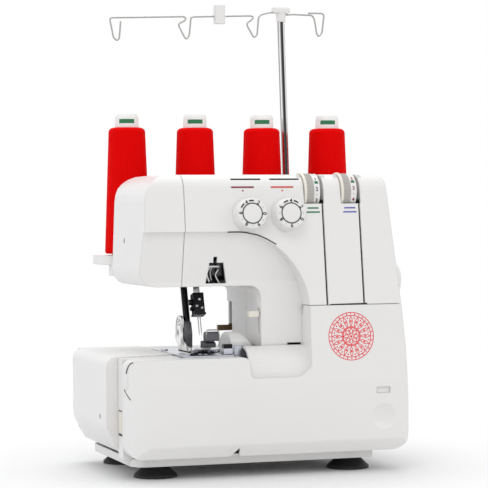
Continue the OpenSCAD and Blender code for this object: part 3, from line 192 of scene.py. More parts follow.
class Finish:
    """One material: a Principled shader and the nodes that feed it."""

    def __init__(self, name, **sockets):
        self.material = bpy.data.materials.new(name)
        self.material.use_nodes = True
        self.tree = self.material.node_tree
        self.tree.nodes.clear()
        self.shader = self.tree.nodes.new("ShaderNodeBsdfPrincipled")
        out = self.tree.nodes.new("ShaderNodeOutputMaterial")
        self.tree.links.new(self.shader.outputs[0], out.inputs[0])
        self.place = self.node("ShaderNodeTexCoord", {}, {}, "Object")
        for socket, value in sockets.items():
            self.set(socket.replace("_", " ").title().replace("Ior", "IOR"), value)

    def feed(self, socket, value):
        """Sets a socket to a value, or links it to a field."""
        if isinstance(value, Field):
            self.tree.links.new(value.socket, socket)
        elif hasattr(socket.default_value, "__len__") and hasattr(value, "__len__"):
            size = len(socket.default_value)
            socket.default_value = (tuple(value) + (1.0,))[:size]
        else:
            socket.default_value = value

    def set(self, socket, value):
        """Sets or links a socket of the shader."""
        self.feed(self.shader.inputs[socket], value)

    def node(self, kind, settings, inputs, output=0):
        """Adds a node: its settings first, then the values or links of its sockets."""
        made = self.tree.nodes.new(kind)
        for key, value in settings.items():
            if key == "stops":
                ramp = made.color_ramp.elements
                while len(ramp) < len(value):
                    ramp.new(0.5)
                for stop, (where, tone) in zip(ramp, value):
                    stop.position = where
                    stop.color = (tone, tone, tone, 1.0)
            else:
                setattr(made, key, value)
        for key, value in inputs.items():
            self.feed(made.inputs[key], value)
        return Field(self, made.outputs[output])

    def noise(self, scale, detail, place=None):
        """Noise over the object's coordinates, or over a place of its own."""
        inputs = {"Vector": place or self.place, "Scale": scale, "Detail": detail}
        return self.node("ShaderNodeTexNoise", {}, inputs)

    def stretched(self, scale):
        """Object coordinates scaled by one factor along each axis."""
        return self.node("ShaderNodeMapping", {}, {"Vector": self.place, "Scale": scale})

    def rounded(self, edge, samples):
        """Normal that makes edges read as rounded, or nothing where edge is zero."""
        return self.node("ShaderNodeBevel", {"samples": samples}, {"Radius": edge}) if edge else None

    def mix(self, amount, first, second):
        """Mixes two colours."""
        made = self.tree.nodes.new("ShaderNodeMix")
        made.data_type = "RGBA"
        for socket, value in zip((made.inputs[0], made.inputs[6], made.inputs[7]), (amount, first, second)):
            self.feed(socket, value)
        return Field(self, made.outputs[2])

    def bump(self, height, distance, strength, normal=None):
        """Bumps the surface by a field and hands back the finished material."""
        inputs = {"Height": height, "Distance": distance, "Strength": strength}
        if normal is not None:
            inputs["Normal"] = normal
        self.set("Normal", self.node("ShaderNodeBump", {}, inputs))
        return self.material

    def axes(self):
        """Object coordinates as three fields."""
        made = self.tree.nodes.new("ShaderNodeSeparateXYZ")
        self.feed(made.inputs[0], self.place)
        return [Field(self, made.outputs[k]) for k in range(3)]


def shade(tint, factor):
    """A colour made darker or lighter, no lighter than white."""
    return tuple(min(1.0, c * factor) for c in tint)


def moulded(made, roughness, grain=1.0, edge=0.0):
    """Patchy gloss, fine grain and rounded edges over a plastic's own colour."""
    made.set("Roughness", made.noise(GLOSS, 2.0) * 0.08 + (roughness - 0.04))
    return made.bump(made.noise(GRAIN, 2.0), 0.00006 * grain, 0.5, made.rounded(edge, 6))


def plastic(name, tint, roughness, grain=1.0, edge=0.0):
    """Moulded plastic with a faint clouding of its colour."""
    made = Finish(name, roughness=roughness, ior=PLASTIC_IOR)
    made.set("Base Color", made.mix(made.noise(CLOUDING, 2.0), shade(tint, 0.975), shade(tint, 1.015)))
    return moulded(made, roughness, grain, edge)


def tipped(name, tint, tip, height):
    """Plastic of one tint whose part below a height has another."""
    made = Finish(name, ior=PLASTIC_IOR)
    z = made.axes()[2]
    made.set("Base Color", made.mix(z.sum("LESS_THAN", z, height), tint, tip))
    return moulded(made, 0.36)


def metal(name, tint, roughness, grain=(1, 1, 1), depth=0.00003, edge=0.0):
    """Bare metal with brushing drawn out along the axes where grain is small."""
    made = Finish(name, metallic=1.0)
    brushed = made.noise(BRUSHING, 3.0, made.stretched(grain))
    made.set("Base Color", made.mix(brushed, shade(tint, 0.9), shade(tint, 1.05)))
    made.set("Roughness", brushed * 0.16 + (roughness - 0.08))
    return made.bump(brushed, depth, 0.4, made.rounded(edge, 4))


def chrome(name, scale, dark, bright):
    """Plated metal with painted reflections: broad dark and bright patches of base colour."""
    made = Finish(name, metallic=1.0)
    # painted reflections: noise through a ramp of dark and bright tones becomes the base colour
    painted_reflection_noise = made.noise(scale, 1.0)
    stops = [(0.36, dark), (0.45, bright * 0.8), (0.6, bright), (0.7, dark * 2.4)]
    made.set("Base Color", made.node("ShaderNodeValToRGB", {"stops": stops}, {0: painted_reflection_noise}))
    made.set("Roughness", painted_reflection_noise * 0.1 + 0.13)
    return made.bump(made.noise(POLISH, 2.0), 0.00001, 0.3)


def painted_reflection_pole(name, stops, x, width):
    """Polished pole with painted reflections: dark and bright bands run its whole length, laid out across x.
    """
    made = Finish(name, metallic=1.0, roughness=0.16)
    across = (made.axes()[0] - (x - width / 2)) / width
    # painted reflections: the stops lay dark and bright base colour across the pole
    made.set("Base Color", made.node("ShaderNodeValToRGB", {"stops": stops}, {0: across}))
    return made.bump(made.noise(POLISH, 2.0), 0.00001, 0.3)


def rubber(name, tint):
    """Matt rubber with a dusty bloom."""
    made = Finish(name, ior=1.5)
    dust = made.noise(240.0, 4.0)
    made.set("Base Color", made.mix(dust, tint, shade(tint, 2.2)))
    made.set("Roughness", dust * 0.2 + 0.5)
    return made.bump(made.noise(1400.0, 2.0), 0.00008, 0.6)


def cast(name, tint):
    """Sand-cast alloy: pitted, matt, darker in its hollows."""
    made = Finish(name, metallic=0.85)
    pits = made.noise(420.0, 5.0)
    made.set("Base Color", made.mix(pits, shade(tint, 0.72), shade(tint, 1.12)))
    made.set("Roughness", pits * 0.25 + 0.42)
    return made.bump(pits, 0.0003, 0.7)


def wound(name, tint, centre, turns):
    """Thread wound crosswise: two families of helices round the cone's axis, one over the other."""
    made = Finish(name, specular_ior_level=0.03, ior=1.4)
    x, y, z = made.axes()
    angle = y.sum("ARCTAN2", y - centre[1], x - centre[0])
    lay = 2 * math.pi / THREAD_PITCH
    up = (z * lay + angle * turns).sine()
    down = (z * lay - angle * turns).sine()
    both = up.sum("MAXIMUM", up, down) * 0.5 + 0.5
    tone = both * 0.7 + made.noise(2600.0, 3.0) * 0.3
    made.set("Base Color", made.mix(tone, shade(tint, 0.7), shade(tint, 1.08)))
    made.set("Roughness", 0.72 - tone * 0.2)
    return made.bump(tone, 0.00022, 0.6)


def glassy(name):
    """Frosted lamp window."""
    made = Finish(name, roughness=0.4, ior=1.45, transmission_weight=0.35)
    frost = made.noise(700.0, 2.0)
    made.set("Base Color", made.mix(frost, (0.80, 0.80, 0.76), (0.9, 0.9, 0.86)))
    return made.bump(frost, 0.0001, 0.5)


def printed(name, tint):
    """Printing ink with a slightly broken tone, also used for the painted shadow strips and lines."""
    made = Finish(name, roughness=0.45)
    made.set("Base Color", made.mix(made.noise(1500.0, 2.0), shade(tint, 0.8), shade(tint, 1.15)))
    return made.bump(made.noise(2200.0, 1.0), 0.00003, 0.4)


PALETTE = {}
PAINTED = {
    "casing": "base_pan arm_housing face_cover rear_cover side_cover front_cover bed_trim cloth_cover "
              "hand_wheel feed_lever spool_tray guide_head wire_clip",
    "cream": "cover_latch width_lever left_needle_dial right_needle_dial",
    "lifter": "presser_lifter",
    "grip": "upper_looper_dial lower_looper_dial",
    "black plastic": "motor power_inlet",
    "core": "core_1 core_2 core_3 core_4",
    "pin": "spool_pins",
    "rubber": "rubber_feet",
    "belt": "timing_belt drive_belt",
    "cast": "frame",
    "steel": "hinge_rod cloth_hinge_pin screws main_feed_dog front_feed_dog main_shaft lower_shaft "
             "motor_pulley tension_discs thread_guides",
    "plate": "needle_plate upper_knife",
    "black metal": "needle_clamp presser_bar",
    "chrome": "lower_knife upper_looper lower_looper needle_bar presser_foot take_up_lever guide_wire",
    "pole": "pole_tube pole_rod",
    "needle steel": "needles",
    "lamp": "lamp",
}


def finish(name):
    """The palette's material of that name."""
    if name not in PALETTE:
        raise RuntimeError(f"no finish named {name}")
    return PALETTE[name]


def paint(name, nodes):
    """Gives CAD nodes a finish."""
    for node in nodes:
        if not NODES[node].material_slots:
            NODES[node].data.materials.append(finish(name))
        for slot in NODES[node].material_slots:
            slot.material = finish(name)


# ---------------------------------------------------------------- surfaces

def quads(rows, columns, wrap_rows):
    """Faces of a grid of rows by columns points, each row of them a closed ring."""
    i, j = np.meshgrid(np.arange(rows - (not wrap_rows)), np.arange(columns), indexing="ij")
    a, b = (i + 1) % rows, (j + 1) % columns
    around = (i * columns + j, a * columns + j, a * columns + b, i * columns + b)
    return np.stack(around, -1).reshape(-1, 4)


def build(name, points, faces, material, body, slot, smooth=40.0):
    """A mesh object from points and faces, welded, turned outwards, shaded smooth below an angle."""
    mesh = bpy.data.meshes.new(name)
    mesh.from_pydata(np.asarray(points, float).reshape(-1, 3).tolist(), [], [list(f) for f in faces])
    work = bmesh.new()
    work.from_mesh(mesh)
    bmesh.ops.remove_doubles(work, verts=work.verts, dist=1e-7)
    bmesh.ops.recalc_face_normals(work, faces=work.faces)
    work.to_mesh(mesh)
    work.free()
    mesh.materials.append(finish(material))
    piece = bpy.data.objects.new(name, mesh)
    bpy.context.scene.collection.objects.link(piece)
    for polygon in mesh.polygons:
        polygon.use_smooth = True
    mesh.set_sharp_from_angle(angle=math.radians(smooth))
    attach(piece, body)
    return piece


def sheet(points, wrap_rows=False, cap=True):
    """Points (rows, columns, 3) and their faces, with flat caps over the first and last row."""
    rows, columns = points.shape[:2]
    faces = quads(rows, columns, wrap_rows).tolist()
    if cap and not wrap_rows:
        faces += [list(range(columns)), list(range((rows - 1) * columns, rows * columns))]
    return points.reshape(-1, 3), faces


def turned(profile, count, wave=None):
    """Turned shape: (r(s) cos a, r(s) sin a, h(s)) at angle a and step s; wave(a, s) adds to r."""
    profile = np.asarray(profile, float)
    a = np.linspace(0, 2 * math.pi, count, endpoint=False)[None, :]
    r, h = profile[:, :1], profile[:, 1:2]
    if wave is not None:
        r = r + wave(a, np.arange(len(profile))[:, None])
    return np.stack([r * np.cos(a), r * np.sin(a), np.broadcast_to(h, (len(profile), count))], -1)


def tube(path, radius, sides, side_of=Y):
    """Round bar along a path: ring point k is p + r (n cos k + b sin k), n square to the path and side_of."""
    path = np.asarray(path, float)
    ahead = np.gradient(path, axis=0)
    ahead /= np.linalg.norm(ahead, axis=1, keepdims=True)
    n = np.cross(ahead, np.asarray(side_of, float))
    n /= np.linalg.norm(n, axis=1, keepdims=True)
    b = np.cross(ahead, n)
    k = np.linspace(0, 2 * math.pi, sides, endpoint=False)[None, :, None]
    radius = np.broadcast_to(np.asarray(radius, float).reshape(-1, 1, 1), (len(path), 1, 1))
    return path[:, None] + radius * (n[:, None] * np.cos(k) + b[:, None] * np.sin(k))


def placed(points, origin, x_axis, y_axis):
    """Points of a local frame put into the machine's frame; its third axis is x cross y."""
    x = np.asarray(x_axis, float) / np.linalg.norm(x_axis)
    y = np.asarray(y_axis, float) / np.linalg.norm(y_axis)
    return np.asarray(points, float) @ np.stack([x, y, np.cross(x, y)]) + np.asarray(origin, float)


def middle(node):
    """Middle of a node's box."""
    low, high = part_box(node)
    return (low + high) / 2


def pivot(joint):
    """Place and unit axis of a joint."""
    found = next(j for j in frame["record"]["behaviour"]["joints"] if j["name"] == joint)
    axis = np.asarray(found["axis"], float)
    return np.asarray(found.get("pos_m") or (0, 0, 0), float), axis / np.linalg.norm(axis)


def flat_points(mesh):
    """All points of a mesh as an array."""
    flat = np.empty(len(mesh.vertices) * 3)
    mesh.vertices.foreach_get("co", flat)
    return flat.reshape(-1, 3)


def on_cover(x, z):
    """The point of the front cover straight behind (x, z)."""
    in_front = -0.5
    found, place = NODES["front_cover"].ray_cast((x, in_front, z), Y)[:2]
    if not found:
        raise RuntimeError("the front cover was missed")
    return np.array(place)


def joined(parts):
    """Several pieces' points and faces as one."""
    points, faces, start = [], [], 0
    for found, made in parts:
        points.append(np.asarray(found).reshape(-1, 3))
        faces += [[k + start for k in face] for face in made]
        start += len(points[-1])
    return np.concatenate(points), faces


def line(path, width, height, closed=False):
    """Raised stroke along a flat path: its section is width wide and stands height high."""
    path = np.asarray(path, float)
    ahead = np.roll(path, -1, 0) - np.roll(path, 1, 0) if closed else np.gradient(path, axis=0)
    ahead = ahead / np.linalg.norm(ahead, axis=1, keepdims=True)
    side = np.stack([-ahead[:, 1], ahead[:, 0]], -1) * width / 2
    section = ((-1, 0), (1, 0), (1, 1), (-1, 1))
    ring = [np.column_stack([path + s * side, np.full(len(path), h * height)]) for s, h in section]
    return sheet(np.stack(ring, 1), wrap_rows=closed)


def spot(x, y, r, count=20):
    """Low round button centred on (x, y)."""
    points, faces = sheet(turned([(0, 0), (r, 0), (r, PRINT), (0, PRINT)], count), cap=False)
    return points + np.array([x, y, 0]), faces


def digit(text, height, thick):
    """A number's outline, filled and raised by thick, centred on its own place."""
    curve = bpy.data.curves.new("digit", "FONT")
    curve.body, curve.size, curve.extrude, curve.resolution_u = text, height / CAP_HEIGHT, thick / 2, 3
    curve.offset = BOLD * height
    shape = bpy.data.objects.new("digit", curve)
    mesh = bpy.data.meshes.new_from_object(shape)
    points = flat_points(mesh)
    faces = [list(face.vertices) for face in mesh.polygons]
    bpy.data.objects.remove(shape)
    bpy.data.curves.remove(curve)
    bpy.data.meshes.remove(mesh)
    points[:, :2] -= (points[:, :2].min(0) + points[:, :2].max(0)) / 2
    points[:, 2] += thick / 2
    return points, faces


def bend(a, p, b, steps):
    """The curve (1-t)^2 a + 2t(1-t) p + t^2 b at each corner p."""
    t = np.linspace(0, 1, steps)[None, :, None]
    return (1 - t) ** 2 * a[:, None] + 2 * t * (1 - t) * p[:, None] + t ** 2 * b[:, None]


def bent(points, radius):
    """Wire bent at each of its corners: straight runs joined by bends."""
    p = np.asarray(points, float)
    runs = np.diff(p, axis=0)
    long = np.linalg.norm(runs, axis=1, keepdims=True)
    runs, cut = runs / long, np.minimum(radius, long * 0.48)
    a, b = p[1:-1] - runs[:-1] * cut[:-1], p[1:-1] + runs[1:] * cut[1:]
    return np.concatenate([p[:1], bend(a, p[1:-1], b, BEND_STEPS).reshape(-1, p.shape[1]), p[-1:]])


def softened(points, radius):
    """Closed outline with a bend at each of its corners."""
    p = np.asarray(points, float)
    before, after = np.roll(p, 1, 0) - p, np.roll(p, -1, 0) - p
    near, far = np.linalg.norm(before, axis=1, keepdims=True), np.linalg.norm(after, axis=1, keepdims=True)
    a, b = p + before * np.minimum(radius / near, 0.48), p + after * np.minimum(radius / far, 0.48)
    return bend(a, p, b, CORNER_STEPS).reshape(-1, 2)


def through(points, per):
    """Smooth path: between p1 and p2 it is the Catmull-Rom cubic of p0, p1, p2 and p3."""
    p = np.asarray(points, float)
    p = np.concatenate([[2 * p[0] - p[1]], p, [2 * p[-1] - p[-2]]])
    t = np.linspace(0, 1, per, endpoint=False)[None, :, None]
    a, b, c, d = p[:-3, None], p[1:-2, None], p[2:-1, None], p[3:, None]
    square, cube = 2 * a - 5 * b + 4 * c - d, 3 * b - a - 3 * c + d
    curve = 0.5 * (2 * b + (c - a) * t + square * t ** 2 + cube * t ** 3)
    return np.concatenate([curve.reshape(-1, p.shape[1]), p[-2:-1]])


def slab(outline, x0, x1, rounding):
    """Flat plate: an outline in y and z carried along x, its two faces drawn in by the rounding."""
    ring = np.asarray(outline, float)
    centre = ring.mean(0)
    away = ring - centre
    rows = []
    for x, inset in ((x0, rounding), (x0 + rounding, 0), (x1 - rounding, 0), (x1, rounding)):
        scale = 1 - inset / np.linalg.norm(away, axis=1, keepdims=True)
        rows.append(np.column_stack([np.full(len(ring), x), centre + away * scale]))
    return sheet(np.stack(rows))


def plate(outline, x0, x1, corner, rounding=0.35):
    """Flat plate in millimetres, the corners of its outline rounded too."""
    return slab(softened(outline, corner) * MM, x0 * MM, x1 * MM, rounding * MM)


def screw_head(radius):
    """Domed screw head with a slot across it; the radius is in millimetres."""
    t = np.linspace(0, math.pi / 2, 7)[:-1]
    dome = [(radius * math.cos(a), 0.5 + math.sin(a)) for a in t]
    rings = turned(np.array([(0, -0.8), (radius, -0.8)] + dome + [(0, 1.5)]) * MM, 32)
    slot = (np.abs(rings[..., 1]) < 0.16 * radius * MM) & (rings[..., 2] > 0.2 * MM)
    rings[..., 2] -= np.where(slot, 0.5 * MM, 0)
    return rings


# ---------------------------------------------------------------- operators

class OVERLOCK_OT_stage(Operator):
    """Camera, lamps, world and floor"""
    bl_idname = "overlock.stage"
    bl_label = "Stage"

    def execute(self, context):
        s = context.scene.overlock_stage
        self.camera(context, s)
        for name, where, size, share, tint in LAMPS:
            self.lamp(context, name, where, size, s.key * share, tint)
        self.world(context, s)
        self.floor(context, s)
        context.scene.view_settings.view_transform = "Standard"
        return {"FINISHED"}

    def camera(self, context, s):
        """Camera turned to the right, down and a little rolled."""
        yaw, pitch, roll = (math.radians(angle) for angle in CAMERA_ANGLES)
        level = math.cos(pitch)
        ahead = Vector((math.sin(yaw) * level, math.cos(yaw) * level, -math.sin(pitch)))
        right = ahead.cross(Vector(Z)).normalized()
        up = right.cross(ahead)
        across = right * math.cos(roll) - up * math.sin(roll)
        upward = up * math.cos(roll) + right * math.sin(roll)
        camera = bpy.data.objects.new("camera", bpy.data.cameras.new("camera"))
        camera.data.lens = s.lens
        camera.data.sensor_width = SENSOR
        camera.data.clip_end = 5 * FLOOR_SPAN
        turn = Matrix((across, upward, -ahead)).transposed().to_4x4()
        camera.matrix_world = Matrix.Translation(CAMERA_PLACE) @ turn
        context.scene.collection.objects.link(camera)
        context.scene.camera = camera

    def lamp(self, context, name, where, size, power, tint):
        """Round area lamp that faces the machine."""
        data = bpy.data.lights.new(name, "AREA")
        data.shape, data.size, data.energy, data.color = "DISK", size, power, tint
        made = bpy.data.objects.new(name, data)
        aim = (Vector(AIM) - Vector(where)).to_track_quat("-Z", "Y").to_matrix().to_4x4()
        made.matrix_world = Matrix.Translation(where) @ aim
        context.scene.collection.objects.link(made)

    def white_rays(self, tree, shader):
        """Mixes plain white over shader where a camera, glossy or transmission ray looks."""
        rays = tree.nodes.new("ShaderNodeLightPath")
        seen = rays.outputs["Is Camera Ray"]
        for kind in ("Is Glossy Ray", "Is Transmission Ray"):
            either = tree.nodes.new("ShaderNodeMath")
            either.operation = "MAXIMUM"
            tree.links.new(seen, either.inputs[0])
            tree.links.new(rays.outputs[kind], either.inputs[1])
            seen = either.outputs[0]
        white = tree.nodes.new("ShaderNodeBackground")
        white.inputs["Color"].default_value = (1.0, 1.0, 1.0, 1.0)
        mix = tree.nodes.new("ShaderNodeMixShader")
        for socket, source in zip(mix.inputs, (seen, shader, white.outputs[0])):
            tree.links.new(source, socket)
        return mix.outputs[0]

    def world(self, context, s):
        """Even light from all round, seen as white."""
        world = bpy.data.worlds.new("studio")
        context.scene.world = world
        world.use_nodes = True
        tree = world.node_tree
        tree.nodes.clear()
        light = tree.nodes.new("ShaderNodeBackground")
        light.inputs["Strength"].default_value = s.fill
        light.inputs["Color"].default_value = SKY
        out = tree.nodes.new("ShaderNodeOutputWorld")
        tree.links.new(self.white_rays(tree, light.outputs[0]), out.inputs[0])

    def floor(self, context, s):
        """Floor whose far part fades to white, so that it has no horizon."""
        mesh = bpy.data.meshes.new("floor")
        ends = ((-1, -1), (1, -1), (1, 1), (-1, 1))
        mesh.from_pydata([(x * FLOOR_SPAN, y * FLOOR_SPAN, FLOOR_DROP) for x, y in ends], [], [(0, 1, 2, 3)])
        ground = Finish("floor paint", roughness=0.9)
        ground.set("Base Color", ground.mix(ground.noise(3.0, 1.0), s.floor, shade(s.floor, 1.02)))
        tree = ground.tree
        away = ground.node("ShaderNodeVectorMath", {"operation": "LENGTH"}, {0: ground.place}, "Value")
        reach = {"Value": away, "From Min": FADE[0], "From Max": FADE[1]}
        fade = ground.node("ShaderNodeMapRange", {"interpolation_type": "SMOOTHSTEP"}, reach)
        rays = tree.nodes.new("ShaderNodeLightPath")
        camera, glossy = (Field(ground, rays.outputs[f"Is {kind} Ray"]) for kind in ("Camera", "Glossy"))
        glow = tree.nodes.new("ShaderNodeEmission")
        mix = tree.nodes.new("ShaderNodeMixShader")
        ground.feed(mix.inputs[0], fade * camera.sum("MAXIMUM", camera, glossy))
        tree.links.new(ground.shader.outputs[0], mix.inputs[1])
        tree.links.new(glow.outputs[0], mix.inputs[2])
        out = next(n for n in tree.nodes if n.type == "OUTPUT_MATERIAL")
        tree.links.new(mix.outputs[0], out.inputs[0])
        mesh.materials.append(ground.material)
        made = bpy.data.objects.new("floor", mesh)
        context.scene.collection.objects.link(made)


class OVERLOCK_OT_finishes(Operator):
    """Materials of every solid"""
    bl_idname = "overlock.finishes"
    bl_label = "Finishes"

    def execute(self, context):
        c, d = context.scene.overlock_casing, context.scene.overlock_dials
        # painted reflections of the pole: share across it and grey of its base colour
        pole_reflection_stops = [(0.0, 0.1), (0.07, 0.42), (0.2, 0.7), (0.3, 0.12), (0.42, 0.03), (0.6, 0.06),
                   (0.7, 0.75), (0.86, 0.6), (0.97, 0.1)]
        PALETTE.update({
            "casing": plastic("casing plastic", c.plastic, 0.36, 1.0, c.edge),
            "cream": plastic("cream plastic", c.cream, 0.38, 1.0, 0.5 * MM),
            "grip": plastic("wheel grip", d.grip, 0.5, 1.6, 0.4 * MM),
            "black plastic": plastic("black plastic", (0.012, 0.012, 0.013), 0.4, 1.2, 0.6 * MM),
            "core": plastic("cone core", (0.84, 0.84, 0.82), 0.42, 1.4),
            "pin": plastic("spool pin", (0.55, 0.55, 0.54), 0.4),
            "knob": plastic("dial plastic", shade(c.plastic, 0.99), 0.4, 1.0, 0.4 * MM),
            "toe": plastic("toe guard", (0.09, 0.09, 0.10), 0.35, 1.0, 0.4 * MM),
            "lifter": tipped("lifter plastic", c.plastic, (0.13, 0.08, 0.03), 147.5 * MM),
            "rubber": rubber("foot rubber", (0.004, 0.004, 0.0045)),
            "belt": rubber("belt rubber", (0.02, 0.02, 0.02)),
            "cast": cast("cast frame", (0.50, 0.51, 0.52)),
            "steel": metal("turned steel", (0.60, 0.60, 0.60), 0.32, (1, 0.05, 0.05)),
            "plate": metal("ground plate", (0.58, 0.60, 0.66), 0.26, (0.04, 1, 1), edge=0.3 * MM),
            "needle steel": metal("needle steel", (0.30, 0.30, 0.31), 0.3),
            "wire": metal("guide wire", (0.42, 0.42, 0.41), 0.3),
            "blade": metal("polished blade", (0.62, 0.62, 0.62), 0.3),
            "black metal": metal(
                "blackened steel", (0.022, 0.022, 0.025), 0.34, depth=0.00002, edge=0.4 * MM),
            # painted reflections: chrome, screw heads and pole carry dark and bright base colour
            "chrome": chrome("chrome", 70.0, 0.2, 0.84),
            "bright screw": chrome("screw heads", 500.0, 0.3, 0.9),
            "pole": painted_reflection_pole("pole", pole_reflection_stops, middle("pole_rod").x, 8.6 * MM),
            "lamp": glassy("lamp window"),
            # painted shade: dark strips and lines that stand for shadows in gaps, under lips and round
            # recesses
            "slot": printed("dark slot", (0.012, 0.012, 0.012)),
            "catch line": printed("catch line", (0.10, 0.09, 0.08)),
            "ink": printed("dial ink", d.ink),
            "ring grey": printed("dial ring", (0.08, 0.08, 0.08)),
            "maroon mark": printed("maroon mark", (0.22, 0.012, 0.03)),
            "orange mark": printed("orange mark", (0.62, 0.05, 0.012)),
            "green mark": printed("green mark", (0.006, 0.16, 0.055)),
            "violet mark": printed("violet mark", (0.10, 0.11, 0.42)),
            "ornament red": printed("ornament red", (0.80, 0.004, 0.012)),
        })
        for name, nodes in PAINTED.items():
            paint(name, nodes.split())
        return {"FINISHED"}


class OVERLOCK_OT_cones(Operator):
    """Four cones of crosswound thread"""
    bl_idname = "overlock.cones"
    bl_label = "Thread cones"

    def execute(self, context):
        s = context.scene.overlock_thread
        for k in range(1, 5):
            low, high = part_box(f"thread_{k}")
            PALETTE[f"red {k}"] = wound(f"red thread {k}", s.red, (low + high) / 2, s.turns)
            shape = self.cone(low, high, s, k)
            piece = build(f"wound_cone_{k}", *shape, f"red {k}", f"spool_{k}", "red_thread")
            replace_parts(piece, f"thread_{k}")
        return {"FINISHED"}

    def cone(self, low, high, s, k):
        """Radius falls in a straight line from foot to shoulder, rounds over at both ends, and
        carries ridges -d |sin(n a + p h + k) sin(n a - p h)| of the crossing windings."""
        tall = high.z - low.z
        foot, shoulder, core, core_foot = (high.x - low.x) / 2, 19.5 * MM, 12.9 * MM, 17.2 * MM
        lip, brim, climb, ridges_end, sides = 0.02, 0.965, 34 * math.pi, 0.96, 160
        over = np.sin(np.linspace(0, math.pi / 2, 9)[1:])
        h = np.concatenate([
            np.linspace(0, 1, 5)[:-1] * lip, np.linspace(lip, brim, 96), brim + (1 - brim) * over])
        r = foot + (shoulder - foot) * h
        r = r - 1.6 * MM * np.clip(1 - h / lip, 0, 1) ** 2
        top = np.clip((h - brim) / (1 - brim), 0, 1)
        r = r - 5.5 * MM * (1 - np.sqrt(np.clip(1 - top ** 2, 0, 1)))

        def crossing(a, step):
            """Depth of the windings at angle a."""
            around, up = s.turns / 2 * a, climb * h[step]
            return -s.ridge * np.abs(np.sin(around + up + k) * np.sin(around - up)) * (h[step] < ridges_end)

        wall = turned(np.stack([r, h * tall], -1), sides, crossing)
        inner = turned([(core, tall), (core_foot, 0)], sides)
        place = np.array([(low.x + high.x) / 2, (low.y + high.y) / 2, low.z])
        return sheet(np.concatenate([wall, inner]) + place, wrap_rows=True)


class OVERLOCK_OT_core_bands(Operator):
    """Plain dark-green band on the bare top of each cone's core"""
    bl_idname = "overlock.core_bands"
    bl_label = "Core bands"

    def execute(self, context):
        for k in range(1, 5):
            low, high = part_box(f"core_{k}")
            centre = middle(f"core_{k}")
            points = flat_points(NODES[f"core_{k}"].data)
            rim = points[np.abs(points[:, 2] - high.z + CORE_RIM) < 0.2 * MM, :2] - (centre.x, centre.y)
            top, foot = np.linalg.norm(rim, axis=1).max(), (high.x - low.x) / 2
            slope = (foot - top) / (high.z - low.z - CORE_RIM)
            h = high.z - np.array([9.6 * MM, 5.2 * MM])[:, None]
            a = np.radians(np.linspace(-144, -66, 33))[None, :]
            r = top + slope * (high.z - CORE_RIM - h)
            outer, inner = self.arc(centre, r + 0.15 * MM, a, h), self.arc(centre, r, a[:, ::-1], h)
            ring = sheet(np.concatenate([outer, inner], 1))
            build(f"core_band_{k}", *ring, "green mark", f"spool_{k}", "core_white")
        return {"FINISHED"}

    def arc(self, centre, r, a, h):
        """The point at angle a and height h is the centre plus (r cos a, r sin a), at h."""
        return np.stack([centre.x + r * np.cos(a), centre.y + r * np.sin(a), h + 0 * a], -1)


class OVERLOCK_OT_needle_dials(Operator):
    """Two needle tension dials: soft cones with a ring, numbers, dots and two bars"""
    bl_idname = "overlock.needle_dials"
    bl_label = "Needle dials"

    def execute(self, context):
        s = context.scene.overlock_dials
        shaft = [(0, -12), (3, -12), (3, 0.4)]
        skirt = [(16.8, 0.4), (17, 0.8), (17, 1.9), (16.7, 2.4), (16.2, 2.5), (16.1, 2.9), (16.0, 4)]
        face = [(15.75, 9.5), (15.6, 11.6), (15.3, 12.7), (14.8, 13.3), (14.2, 13.5), (10.9, 13.5),
                (10.8, 13.1)]
        disc = [(9.6, 13.1), (9.5, 13.7), (9.2, 13.95), (8.6, 14.05), (0, 14.2)]
        ring = turned(np.array([(9.62, 13.05), (10.78, 13.05), (10.78, 13.42), (9.62, 13.42)]) * MM, 96)
        for side, turn in (("left", 28.0), ("right", 0.0)):
            origin, axis = pivot(f"{side}_needle_tension")
            up = np.cross(axis, X)
            body = f"{side}_dial"
            knob = placed(turned(np.array(shaft + skirt + face + disc) * MM, 128), origin, X, up)
            piece = build(f"{side}_tension_knob", *sheet(knob, cap=False), "knob", body, "cream_plastic")
            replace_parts(piece, f"{side}_needle_dial")
            band = placed(ring, origin, X, up)
            build(f"{side}_tension_ring", *sheet(band, wrap_rows=True), "ring grey", body, "dial_grey")
            marks = [self.number(text, turn - 60 * k, s.digit) for k, text in enumerate("420986")]
            marks += [self.bar(turn - 60 * k - 30, 1.4, 0.7 * MM) for k in range(1, 5)]
            marks += [self.bar(turn + way * 25, 11.5, 1.5 * MM) for way in (-1, 1)]
            points, faces = joined(marks)
            build(f"{side}_tension_numbers", placed(points, origin, X, up), faces, "ink", body, "dial_grey")
        return {"FINISHED"}

    def number(self, text, angle, height):
        """A digit moved out to the number circle and turned so that its head points outwards."""
        points, faces = digit(text, height, 0.16 * MM)
        a = math.radians(angle)
        out, side = np.array([-math.sin(a), math.cos(a), 0]), np.array([math.cos(a), math.sin(a), 0])
        lift = np.array(Z) * (points[:, 2:] + DIAL_FACE)
        return points[:, :1] * side + (points[:, 1:2] + NUMBER_CIRCLE) * out + lift, faces

    def bar(self, angle, half, width):
        """Arc on the bars' circle from angle - half to angle + half."""
        a = np.radians(np.linspace(angle - half, angle + half, 15))
        points, faces = line(np.stack([-np.sin(a), np.cos(a)], -1) * BAR_CIRCLE, width, 0.16 * MM)
        return points + np.array([0, 0, DIAL_FACE]), faces


